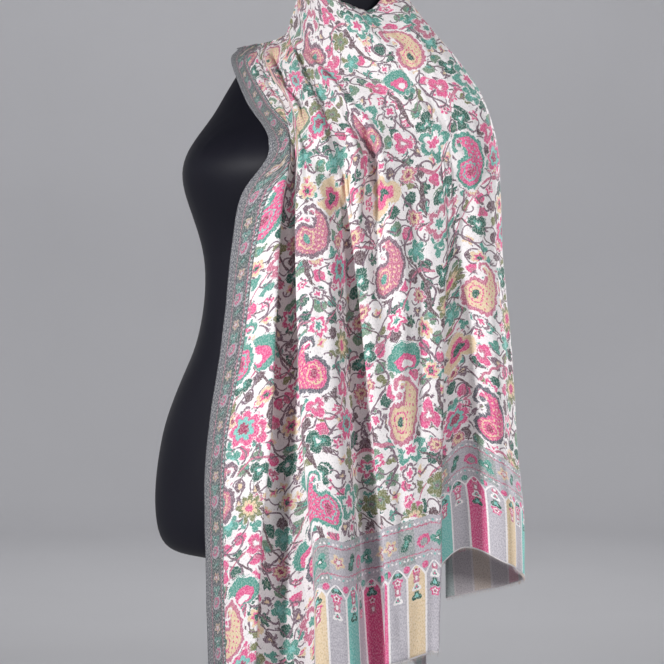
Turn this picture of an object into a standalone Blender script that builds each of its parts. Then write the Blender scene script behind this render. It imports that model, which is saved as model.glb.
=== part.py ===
"""A wool shawl hung over a limbless dress form, which stands on a round base.

Lengths are in millimetres here and are scaled to metres when a mesh is made.
+X is to the right and +Z is up when the shawl is looked at from the front, and -Y is
towards the person looking. The form itself is turned to face the viewer's left.
"""

from __future__ import annotations

import math
from typing import NamedTuple

import bmesh
import bpy
import numpy as np

MM = 0.001

# --- cloth -------------------------------------------------------------------------
CLOTH_WALL = 2.0          # thickness of the wool, with its nap
CLOTH_CLEARANCE = 2.1     # the cloth's middle stays at least this far from the form
CLOTH_LIFT = 8.0          # and at least this far above its slopes
RIDGE_STEP_BACK = 3.0     # the back fall starts this far behind the front fall's ridge
FRONT_COLUMNS_PER_FOLD = 3
FRONT_ROWS = 25
BACK_COLUMNS_PER_FOLD = 3
BACK_ROWS = 17

# --- stand -------------------------------------------------------------------------
BASE_RADIUS = 175.0
BASE_EDGE_HEIGHT = 10.0
BASE_CROWN_HEIGHT = 24.0
HUB_RADIUS = 24.0
HUB_TOP = 60.0
POLE_RADIUS = 15.0
FLANGE_RADIUS = 62.0
FLANGE_THICKNESS = 5.0
STAND_GAP = 0.4
FORM_UNDERSIDE = 620.0
ROUND_STEPS = 48

# --- dress form --------------------------------------------------------------------
FORM_TURN = math.radians(30.0)   # the form faces this far round to the viewer's left
FORM_STEPS = 56


class FormSection(NamedTuple):
    """One level section of the form: an ellipse, across and fore-and-aft."""

    height: float
    centre_x: float
    centre_y: float
    half_across: float
    half_fore: float


FORM_SECTIONS = (
    FormSection(620, 0, 0, 150, 95),        # flat underside
    FormSection(626, -1, 0, 182, 118),
    FormSection(645, -2, 0, 200, 134),
    FormSection(690, -2, 0, 206, 141),
    FormSection(735, -1, 0, 205, 141),      # hip
    FormSection(780, 0, 1, 199, 138),
    FormSection(825, 1, 2, 190, 133),
    FormSection(893, 4, 4, 163, 118),
    FormSection(935, 6, 6, 143, 105),
    FormSection(1000, 8, 8, 131, 98),
    FormSection(1062, 8, 10, 130, 97),      # waist
    FormSection(1105, 6, 8, 138, 106),
    FormSection(1160, 2, -4, 153, 126),
    FormSection(1196, 1, -10, 158, 133),    # bust
    FormSection(1230, 8, -4, 158, 125),
    FormSection(1262, 26, 12, 163, 105),
    FormSection(1292, 46, 28, 168, 86),
    FormSection(1325, 64, 40, 172, 76),
    FormSection(1350, 82, 46, 178, 70),
    FormSection(1366, 90, 48, 176, 66),     # shoulder tips
    FormSection(1380, 94, 50, 160, 62),
    FormSection(1393, 98, 51, 130, 59),
    FormSection(1406, 101, 52, 98, 57),
    FormSection(1420, 102, 52, 72, 55),
    FormSection(1440, 102, 52, 57, 53),     # neck
    FormSection(1494, 102, 52, 54, 52),
    FormSection(1500, 102, 52, 50, 48),     # flat top of the neck
)

# --- front fall ----------------------------------------------------------------------
# A row for each fold line of the front fall, from the bordered edge at the left to the
# edge that is folded out of sight at the right. Each cell is (across, depth, height).
FRONT_CUTS = ("ridge", "yoke", "chest", "bust", "rib", "waist", "hip", "seat", "thigh", "hem")
FRONT_FOLDS = {
    "border_edge": (
        (-71, 150, 1401), (-79, 112, 1377), (-52, 0, 1305), (-12, -131, 1222), (-52, -143, 1153),
        (-67, -143, 1074), (-80, -138, 946), (-103, -128, 788), (-104, -129, 630), (-92, -137, 261),
    ),
    "panel_crest": (
        (-56, 138, 1405), (-57, 75, 1372), (-27, -31, 1301), (4, -146, 1221), (-22, -171, 1151),
        (-33, -178, 1073), (-44, -180, 946), (-63, -179, 791), (-68, -180, 636), (-62, -184, 278),
    ),
    "panel_edge": (
        (-40, 124, 1405), (-39, 56, 1370), (-7, -42, 1300), (16, -153, 1220), (6, -174, 1151),
        (1, -185, 1072), (-4, -193, 946), (-11, -199, 792), (-24, -200, 638), (-38, -194, 295),
    ),
    "panel_under": (
        (-36, 121, 1405), (-35, 53, 1370), (0, -43, 1300), (18, -147, 1220), (6, -158, 1151),
        (-7, -160, 1072), (-13, -164, 946), (-21, -172, 790), (-36, -172, 636), (-48, -168, 284),
    ),
    "groove": (
        (-31, 116, 1406), (-30, 48, 1368), (6, -45, 1300), (22, -142, 1221), (17, -149, 1152),
        (12, -148, 1073), (10, -148, 946), (6, -159, 790), (-2, -156, 635), (2, -160, 268),
    ),
    "fall_under": (
        (-26, 112, 1407), (-25, 39, 1367), (12, -53, 1299), (26, -146, 1220), (27, -157, 1151),
        (34, -160, 1072), (38, -168, 946), (44, -176, 790), (56, -176, 636), (60, -176, 300),
    ),
    "fall_edge": (
        (-21, 108, 1407), (-20, 30, 1366), (18, -60, 1298), (30, -152, 1220), (28, -173, 1151),
        (28, -186, 1072), (31, -199, 946), (38, -208, 792), (52, -212, 639), (56, -212, 455),
    ),
    "fall_edge_right": (
        (-7, 98, 1409), (-5, 25, 1365), (30, -58, 1298), (43, -144, 1221), (61, -167, 1151),
        (76, -176, 1073), (78, -192, 946), (87, -205, 792), (98, -204, 638), (108, -201, 462),
    ),
    "recess": (
        (8, 88, 1419), (14, -2, 1362), (48, -79, 1296), (68, -148, 1220), (86, -142, 1151),
        (98, -138, 1073), (104, -142, 946), (112, -156, 790), (121, -154, 635), (129, -158, 466),
    ),
    "lap_under": (
        (11, 85, 1425), (24, -3, 1362), (58, -76, 1296), (80, -143, 1221), (99, -141, 1152),
        (112, -140, 1073), (128, -150, 946), (143, -164, 791), (157, -160, 636), (161, -158, 474),
    ),
    "lap_edge": (
        (15, 82, 1430), (34, -5, 1361), (67, -75, 1296), (93, -137, 1222), (98, -151, 1152),
        (108, -159, 1073), (122, -178, 946), (136, -188, 791), (150, -184, 636), (153, -180, 478),
    ),
    "tuck_crest": (
        (20, 76, 1448), (46, -18, 1360), (83, -86, 1295), (111, -141, 1222), (117, -153, 1152),
        (122, -161, 1073), (139, -178, 946), (154, -185, 791), (167, -182, 636), (170, -179, 483),
    ),
    "pocket": (
        (25, 66, 1463), (56, -26, 1358), (97, -90, 1295), (132, -111, 1224), (137, -123, 1154),
        (141, -140, 1074), (158, -167, 946), (173, -176, 790), (184, -174, 635), (187, -171, 487),
    ),
    "pocket_edge": (
        (28, 54, 1476), (68, -31, 1358), (110, -95, 1294), (149, -126, 1223), (154, -139, 1153),
        (160, -149, 1074), (175, -161, 946), (189, -171, 790), (199, -169, 634), (202, -166, 491),
    ),
    "lap_crest": (
        (38, 24, 1477), (98, -46, 1356), (135, -95, 1294), (178, -113, 1224), (186, -124, 1154),
        (190, -135, 1074), (202, -148, 946), (212, -160, 789), (216, -163, 634), (218, -160, 496),
    ),
    "lap_fold": (
        (74, -13, 1457), (147, -65, 1353), (183, -91, 1294), (224, -98, 1225), (233, -104, 1155),
        (239, -112, 1075), (238, -132, 946), (234, -149, 789), (232, -156, 633), (228, -158, 502),
    ),
    "lap_return": (
        (104, -20, 1444), (168, -70, 1353), (205, -88, 1295), (238, -94, 1226), (242, -99, 1156),
        (244, -102, 1076), (227, -114, 945), (215, -127, 787), (207, -134, 673), (204, -139, 568),
    ),
    "dip": (
        (135, -11, 1437), (191, -73, 1352), (229, -84, 1295), (256, -87, 1226), (262, -91, 1156),
        (265, -91, 1076), (265, -88, 945), (266, -87, 785), (266, -86, 712), (263, -88, 635),
    ),
    "side_crest": (
        (158, 8, 1464), (222, -72, 1352), (258, -79, 1296), (281, -80, 1227), (292, -81, 1157),
        (300, -83, 1077), (311, -91, 945), (316, -97, 786), (325, -99, 705), (328, -99, 616),
    ),
    "side_turn": (
        (174, 24, 1479), (246, -62, 1354), (288, -64, 1298), (308, -60, 1229), (315, -60, 1158),
        (320, -58, 1078), (333, -58, 945), (340, -61, 784), (350, -60, 694), (353, -60, 598),
    ),
    "side_back": (
        (193, 15, 1454), (265, -38, 1357), (301, -39, 1300), (322, -31, 1232), (326, -32, 1160),
        (329, -31, 1079), (341, -29, 945), (351, -26, 782), (360, -21, 684), (363, -20, 583),
    ),
    "return_fold": (
        (222, 16, 1412), (257, 5, 1363), (286, 3, 1305), (303, 9, 1235), (309, 10, 1163),
        (310, 11, 1080), (321, 16, 945), (328, 23, 779), (335, 30, 672), (336, 32, 566),
    ),
    "hidden_edge": (
        (238, 40, 1389), (250, 41, 1368), (255, 36, 1309), (253, 38, 1238), (250, 38, 1165),
        (247, 37, 1082), (247, 38, 945), (247, 37, 778), (249, 40, 662), (250, 42, 546),
    ),
}

# --- back fall -----------------------------------------------------------------------
# The back fall starts along the front fall's ridge on the far shoulder, goes round behind
# the neck and meets the front fall's ridge again on the near shoulder.
FAR_SHOULDER = (
    "border_edge", "panel_crest", "panel_edge", "groove", "fall_edge", "fall_edge_right",
    "recess",
)
NAPE = (
    (12, 92, 1432), (17, 86, 1448), (22, 80, 1463), (28, 88, 1475), (40, 102, 1483),
    (66, 121, 1487), (102, 128, 1488), (138, 121, 1487), (160, 103, 1485), (175, 76, 1482),
    (183, 46, 1477), (189, 28, 1468),
)
NEAR_SHOULDER = ("side_back", "return_fold")
BACK_HEIGHTS = (1370, 1300, 1210, 1090, 940, 790)
BACK_CREST_LIFT = (12, 26, 42, 54, 61, 65)
BACK_HEM_LIFT = 68
BACK_LEFT = (-70, -78, -86, -92, -96, -100)      # across, at each of BACK_HEIGHTS
BACK_RIGHT = (214, 222, 228, 232, 232, 230)
BACK_HEM_LEFT, BACK_HEM_RIGHT = -102, 222
BACK_HEM_HEIGHT_LEFT, BACK_HEM_HEIGHT_RIGHT = 700, 420
BACK_STAND_OFF = 7.0
BACK_SLOPE = (150.0, -70.0, -0.28)   # depth of a cloth hung straight from both shoulders


class BackFold(NamedTuple):
    """One fold of the back fall: its place from edge to edge and its fullness, top and hem."""

    place_top: float
    place_hem: float
    full_top: float
    full_hem: float


BACK_FOLDS = (
    BackFold(0.00, 0.00, 0.1, 0.1),
    BackFold(0.06, 0.055, 0.5, 0.9),
    BackFold(0.13, 0.12, 0.0, 0.05),
    BackFold(0.21, 0.225, 1.3, 1.05),
    BackFold(0.29, 0.31, 0.2, 0.1),
    BackFold(0.35, 0.37, 0.3, 0.85),
    BackFold(0.41, 0.43, 0.1, 0.0),
    BackFold(0.50, 0.525, 1.4, 1.1),
    BackFold(0.59, 0.60, 0.1, 0.15),
    BackFold(0.66, 0.655, 0.9, 0.7),
    BackFold(0.72, 0.71, 0.0, 0.05),
    BackFold(0.80, 0.785, 1.2, 1.1),
    BackFold(0.88, 0.86, 0.25, 0.1),
    BackFold(0.94, 0.93, 0.4, 0.9),
    BackFold(1.00, 1.00, 0.2, 0.2),
)


class Finish(NamedTuple):
    """A plain material: its name, linear base colour and roughness."""

    name: str
    colour: tuple[float, float, float]
    roughness: float
    metallic: float = 0.0


WOOL = Finish("printed_wool", (0.72, 0.62, 0.58), 0.9)
FORM_SHELL = Finish("form_shell", (0.012, 0.012, 0.020), 0.6)
STAND_PAINT = Finish("stand_paint", (0.02, 0.02, 0.022), 0.45, 0.3)


def clear_scene() -> None:
    """Take every object out of the scene."""
    for item in list(bpy.data.objects):
        bpy.data.objects.remove(item, do_unlink=True)


def make_material(finish: Finish) -> bpy.types.Material:
    """Return a Principled material for a finish."""
    material = bpy.data.materials.new(finish.name)
    material.use_nodes = True
    shader = material.node_tree.nodes["Principled BSDF"]
    shader.inputs["Base Color"].default_value = (*finish.colour, 1.0)
    shader.inputs["Roughness"].default_value = finish.roughness
    shader.inputs["Metallic"].default_value = finish.metallic
    return material


def add_mesh(name: str, points: list, faces: list, finish: Finish) -> bpy.types.Object:
    """Make a named object from points in millimetres, with its faces turned outward."""
    mesh = bpy.data.meshes.new(name)
    mesh.from_pydata([tuple(c * MM for c in p) for p in points], [], faces)
    work = bmesh.new()
    work.from_mesh(mesh)
    bmesh.ops.recalc_face_normals(work, faces=work.faces)
    bmesh.ops.triangulate(work, faces=work.faces)
    work.to_mesh(mesh)
    work.free()
    mesh.materials.append(make_material(finish))
    thing = bpy.data.objects.new(name, mesh)
    bpy.context.collection.objects.link(thing)
    return thing


# --- smooth grids ----------------------------------------------------------------------


def blend(stations: np.ndarray, place: float) -> np.ndarray:
    """Read a smooth curve through evenly numbered stations.

    The curve is a Catmull-Rom spline, so it passes through every station.
    """
    last = len(stations) - 1
    place = min(max(place, 0.0), float(last))
    i = min(int(place), last - 1)
    t = place - i
    p1, p2 = stations[i], stations[i + 1]
    p0 = stations[i - 1] if i > 0 else 2 * p1 - p2
    p3 = stations[i + 2] if i + 2 <= last else 2 * p2 - p1
    return 0.5 * (
        2 * p1
        + (p2 - p0) * t
        + (2 * p0 - 5 * p1 + 4 * p2 - p3) * t * t
        + (3 * p1 - 3 * p2 + p3 - p0) * t * t * t
    )


def smooth_grid(lines: np.ndarray, columns: int, rows: int) -> np.ndarray:
    """Fill the spaces between fold lines.

    Args:
        lines: fold lines by stations by 3.
        columns: how many points across, ends included.
        rows: how many points down, ends included.

    Returns:
        An array of columns by rows by 3.
    """
    down = [
        np.array([blend(line, (line.shape[0] - 1) * r / (rows - 1)) for r in range(rows)])
        for line in lines
    ]
    across = np.stack(down)
    return np.stack(
        [blend(across, (len(lines) - 1) * c / (columns - 1)) for c in range(columns)]
    )


def grid_normals(grid: np.ndarray) -> np.ndarray:
    """Return the unit normal at each point of a grid."""
    along = np.gradient(grid, axis=0)
    down = np.gradient(grid, axis=1)
    normal = np.cross(along, down)
    return normal / np.linalg.norm(normal, axis=2, keepdims=True)


def wall_from_grid(name: str, grid: np.ndarray, wall: float, finish: Finish) -> None:
    """Make a closed wall of even thickness, half on each side of a grid."""
    columns, rows = grid.shape[:2]
    half = grid_normals(grid) * wall / 2
    points = [*(grid + half).reshape(-1, 3), *(grid - half).reshape(-1, 3)]
    other = columns * rows
    faces = []
    for c in range(columns - 1):
        for r in range(rows - 1):
            a, b = c * rows + r, (c + 1) * rows + r
            faces.append((a, b, b + 1, a + 1))
            faces.append((other + a, other + a + 1, other + b + 1, other + b))
    rim = [c * rows for c in range(columns)]
    rim += [(columns - 1) * rows + r for r in range(1, rows)]
    rim += [c * rows + rows - 1 for c in range(columns - 2, -1, -1)]
    rim += [r for r in range(rows - 2, 0, -1)]
    for a, b in zip(rim, rim[1:] + rim[:1]):
        faces.append((a, b, other + b, other + a))
    add_mesh(name, points, faces, finish)


# --- the form ----------------------------------------------------------------------------


def section_at(height: float) -> FormSection:
    """Return the form's section at any height, between the two nearest rows."""
    if height <= FORM_SECTIONS[0].height:
        return FORM_SECTIONS[0]
    for low, high in zip(FORM_SECTIONS, FORM_SECTIONS[1:]):
        if height <= high.height:
            share = (height - low.height) / (high.height - low.height)
            return FormSection(*(a + (b - a) * share for a, b in zip(low, high)))
    return FORM_SECTIONS[-1]


def hung_clear(grid: np.ndarray) -> np.ndarray:
    """Move any point of a fall that comes too near the form straight out from it."""
    c, s = math.cos(FORM_TURN), math.sin(FORM_TURN)
    clear = grid.copy()
    for point in clear.reshape(-1, 3):
        if not FORM_UNDERSIDE - 20 < point[2] < FORM_SECTIONS[-1].height + 10:
            continue
        for section in (section_at(point[2] - CLOTH_LIFT), section_at(point[2])):
            dx, dy = point[0] - section.centre_x, point[1] - section.centre_y
            u = (dx * c - dy * s) / (section.half_across + CLOTH_CLEARANCE)
            v = (-dx * s - dy * c) / (section.half_fore + CLOTH_CLEARANCE)
            reach = math.hypot(u, v)
            if reach < 1:
                point[0] = section.centre_x + dx / reach
                point[1] = section.centre_y + dy / reach
    return clear


def form_ring(section: FormSection) -> list[tuple[float, float, float]]:
    """Return the points of one level section, turned with the form."""
    c, s = math.cos(FORM_TURN), math.sin(FORM_TURN)
    ring = []
    for step in range(FORM_STEPS):
        angle = 2 * math.pi * step / FORM_STEPS
        u = section.half_across * math.cos(angle)
        v = section.half_fore * math.sin(angle)
        ring.append(
            (section.centre_x + u * c - v * s, section.centre_y - u * s - v * c, section.height)
        )
    return ring


def form_back_depth(across: float, height: float) -> float:
    """Return how far back the form reaches at one place, at this height or above it."""
    c, s = math.cos(FORM_TURN), math.sin(FORM_TURN)
    depth, start, slope = BACK_SLOPE
    furthest = depth + slope * (across - start)
    for section in FORM_SECTIONS:
        if section.height < height - 20:
            continue
        dx, a, b = across - section.centre_x, section.half_across, section.half_fore
        q2 = (s / a) ** 2 + (c / b) ** 2
        q1 = 2 * dx * c * s * (1 / b**2 - 1 / a**2)
        q0 = dx * dx * ((c / a) ** 2 + (s / b) ** 2) - 1
        inside = q1 * q1 - 4 * q2 * q0
        if inside > 0:
            furthest = max(furthest, section.centre_y + (-q1 + math.sqrt(inside)) / (2 * q2))
    return furthest


def build_form() -> None:
    """Build the limbless form as one closed body from its level sections."""
    rings = [form_ring(section) for section in FORM_SECTIONS]
    points = [p for ring in rings for p in ring]
    faces = [tuple(range(FORM_STEPS))]
    for level in range(len(rings) - 1):
        for step in range(FORM_STEPS):
            after = (step + 1) % FORM_STEPS
            low, high = level * FORM_STEPS, (level + 1) * FORM_STEPS
            faces.append((low + step, low + after, high + after, high + step))
    top = (len(rings) - 1) * FORM_STEPS
    faces.append(tuple(top + step for step in range(FORM_STEPS)))
    add_mesh("dress_form", points, faces, FORM_SHELL)


# --- the stand -----------------------------------------------------------------------------


def build_turned(name: str, profile: list[tuple[float, float]], finish: Finish) -> None:
    """Build a turned body from (radius, height) pairs that start and end on the axis."""
    points, faces, rings = [], [], []
    for radius, height in profile:
        if radius == 0:
            rings.append([len(points)])
            points.append((0.0, 0.0, height))
            continue
        rings.append([len(points) + step for step in range(ROUND_STEPS)])
        for step in range(ROUND_STEPS):
            angle = 2 * math.pi * step / ROUND_STEPS
            points.append((radius * math.cos(angle), radius * math.sin(angle), height))
    for low, high in zip(rings, rings[1:]):
        for step in range(ROUND_STEPS):
            after = (step + 1) % ROUND_STEPS
            if len(low) == 1:
                faces.append((low[0], high[step], high[after]))
            elif len(high) == 1:
                faces.append((low[step], low[after], high[0]))
            else:
                faces.append((low[step], low[after], high[after], high[step]))
    add_mesh(name, points, faces, finish)


def build_stand() -> None:
    """Build the weighted base and the pole with the flange that carries the form."""
    build_turned(
        "stand_base",
        [
            (0, 0), (BASE_RADIUS - 4, 0), (BASE_RADIUS, 3), (BASE_RADIUS, BASE_EDGE_HEIGHT),
            (BASE_RADIUS - 6, BASE_EDGE_HEIGHT + 4), (90, BASE_CROWN_HEIGHT - 3),
            (HUB_RADIUS + 10, BASE_CROWN_HEIGHT), (HUB_RADIUS, BASE_CROWN_HEIGHT + 8),
            (HUB_RADIUS, HUB_TOP - 4), (HUB_RADIUS - 3, HUB_TOP), (0, HUB_TOP),
        ],
        STAND_PAINT,
    )
    top = FORM_UNDERSIDE - STAND_GAP
    build_turned(
        "stand_pole",
        [
            (0, HUB_TOP + STAND_GAP), (POLE_RADIUS, HUB_TOP + STAND_GAP),
            (POLE_RADIUS, top - 40), (POLE_RADIUS + 7, top - 36),
            (POLE_RADIUS + 7, top - FLANGE_THICKNESS - 3),
            (POLE_RADIUS + 12, top - FLANGE_THICKNESS), (FLANGE_RADIUS, top - FLANGE_THICKNESS),
            (FLANGE_RADIUS, top), (0, top),
        ],
        STAND_PAINT,
    )


# --- the shawl -------------------------------------------------------------------------------


def front_lines() -> np.ndarray:
    """Return the fold lines of the front fall as an array."""
    return np.array(list(FRONT_FOLDS.values()), dtype=float)


def along_path(path: np.ndarray, share: float) -> np.ndarray:
    """Return the point a given share of the way along a path."""
    run = np.concatenate(([0.0], np.cumsum(np.linalg.norm(np.diff(path, axis=0), axis=1))))
    return np.array([np.interp(share * run[-1], run, path[:, k]) for k in range(3)])


def back_ridge() -> np.ndarray:
    """Return the top edge of the back fall, a little behind the front fall's ridge."""

    def behind(name: str) -> np.ndarray:
        top, below = (np.array(cell, dtype=float) for cell in FRONT_FOLDS[name][:2])
        way = (top - below) * (1, 1, 0)
        return top + way / np.linalg.norm(way) * RIDGE_STEP_BACK

    far = [behind(name) for name in FAR_SHOULDER]
    near = [behind(name) for name in NEAR_SHOULDER]
    return np.array([*far, *(np.array(point, dtype=float) for point in NAPE), *near])


def back_lines() -> np.ndarray:
    """Work out the fold lines of the back fall, hung clear of the form's back."""
    ridge = back_ridge()
    lines = []
    for fold in BACK_FOLDS:
        line = [along_path(ridge, fold.place_top)]
        hem_height = BACK_HEM_HEIGHT_LEFT + fold.place_hem * (
            BACK_HEM_HEIGHT_RIGHT - BACK_HEM_HEIGHT_LEFT
        )
        cuts = list(zip(BACK_HEIGHTS, BACK_CREST_LIFT, BACK_LEFT, BACK_RIGHT))
        cuts.append((hem_height, BACK_HEM_LIFT, BACK_HEM_LEFT, BACK_HEM_RIGHT))
        for height, lift, left, right in cuts:
            down = (BACK_HEIGHTS[0] - height) / (BACK_HEIGHTS[0] - hem_height)
            place = fold.place_top + down * (fold.place_hem - fold.place_top)
            fullness = fold.full_top + down * (fold.full_hem - fold.full_top)
            across = left + place * (right - left)
            depth = form_back_depth(across, max(height, FORM_SECTIONS[4].height))
            depth += BACK_STAND_OFF + lift * fullness
            line.append(np.array((across, depth, height)))
        lines.append(np.array(line))
    return np.stack(lines)


def build_fall(side: str, lines: np.ndarray, columns_per_fold: int, rows: int) -> None:
    """Build one fall of the shawl, down to the tips of the short fringe along its end."""
    columns = (len(lines) - 1) * columns_per_fold + 1
    grid = hung_clear(smooth_grid(lines, columns, rows))
    wall_from_grid(f"shawl_{side}_fall", grid, CLOTH_WALL, WOOL)


def build() -> None:
    """Build the whole part."""
    clear_scene()
    build_stand()
    build_form()
    build_fall("front", front_lines(), FRONT_COLUMNS_PER_FOLD, FRONT_ROWS)
    build_fall("back", back_lines(), BACK_COLUMNS_PER_FOLD, BACK_ROWS)


build()
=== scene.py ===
"""Looks of a printed wool shawl that hangs over a limbless dress form on a round-based stand.

The frame's lengths are metres. The tables below are in millimetres, as a maker would
write them, and the cloth's pattern is drawn on a plan of the flat cloth, also in
millimetres: U runs across from the bordered edge and V runs up from the cut end.
"""

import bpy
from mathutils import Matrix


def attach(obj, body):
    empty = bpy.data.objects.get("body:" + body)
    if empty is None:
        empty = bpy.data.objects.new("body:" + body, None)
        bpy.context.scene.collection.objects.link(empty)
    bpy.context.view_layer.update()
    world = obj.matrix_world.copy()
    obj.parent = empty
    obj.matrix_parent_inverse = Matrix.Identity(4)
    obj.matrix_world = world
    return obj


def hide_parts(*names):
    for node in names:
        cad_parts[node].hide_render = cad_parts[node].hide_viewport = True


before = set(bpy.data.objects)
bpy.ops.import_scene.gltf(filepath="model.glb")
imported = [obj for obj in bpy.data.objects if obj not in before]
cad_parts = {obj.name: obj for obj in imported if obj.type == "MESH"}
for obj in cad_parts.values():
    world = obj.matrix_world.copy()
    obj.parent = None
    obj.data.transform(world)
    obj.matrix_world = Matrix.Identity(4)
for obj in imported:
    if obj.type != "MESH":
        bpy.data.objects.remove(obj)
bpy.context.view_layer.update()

import logging
import math
from dataclasses import dataclass, field
from enum import Enum
from typing import NamedTuple

import bmesh
import bpy
import numpy as np
from mathutils import Vector
from mathutils.bvhtree import BVHTree

log = logging.getLogger("shawl")

MM = 0.001
BODY = "root"

# --- the photograph's frame --------------------------------------------------------------
PHOTO_SIDE = 664                 # pixels
PHOTO_PIXEL = 0.0015             # metres covered by one pixel in the plane Y = 0
CAMERA_PLACE = (0.077, -3.0, 0.957)
SENSOR = 36.0

# --- the shawl's cut -----------------------------------------------------------------------
CUT_WIDTH = 930.0                # across the shawl, selvedge to selvedge
CLOTH_WALL = 1.3
CLOTH_GAP = 1.5                  # the middle of the cloth stays this far from the form
FRINGE_REACH = 6.0
NEAR_FORM = 0.06                 # metres within which the cloth is kept off the form
PLAN_MAP = "cloth_plan"
WRONG_SIDE = "wrong_side"

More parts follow.
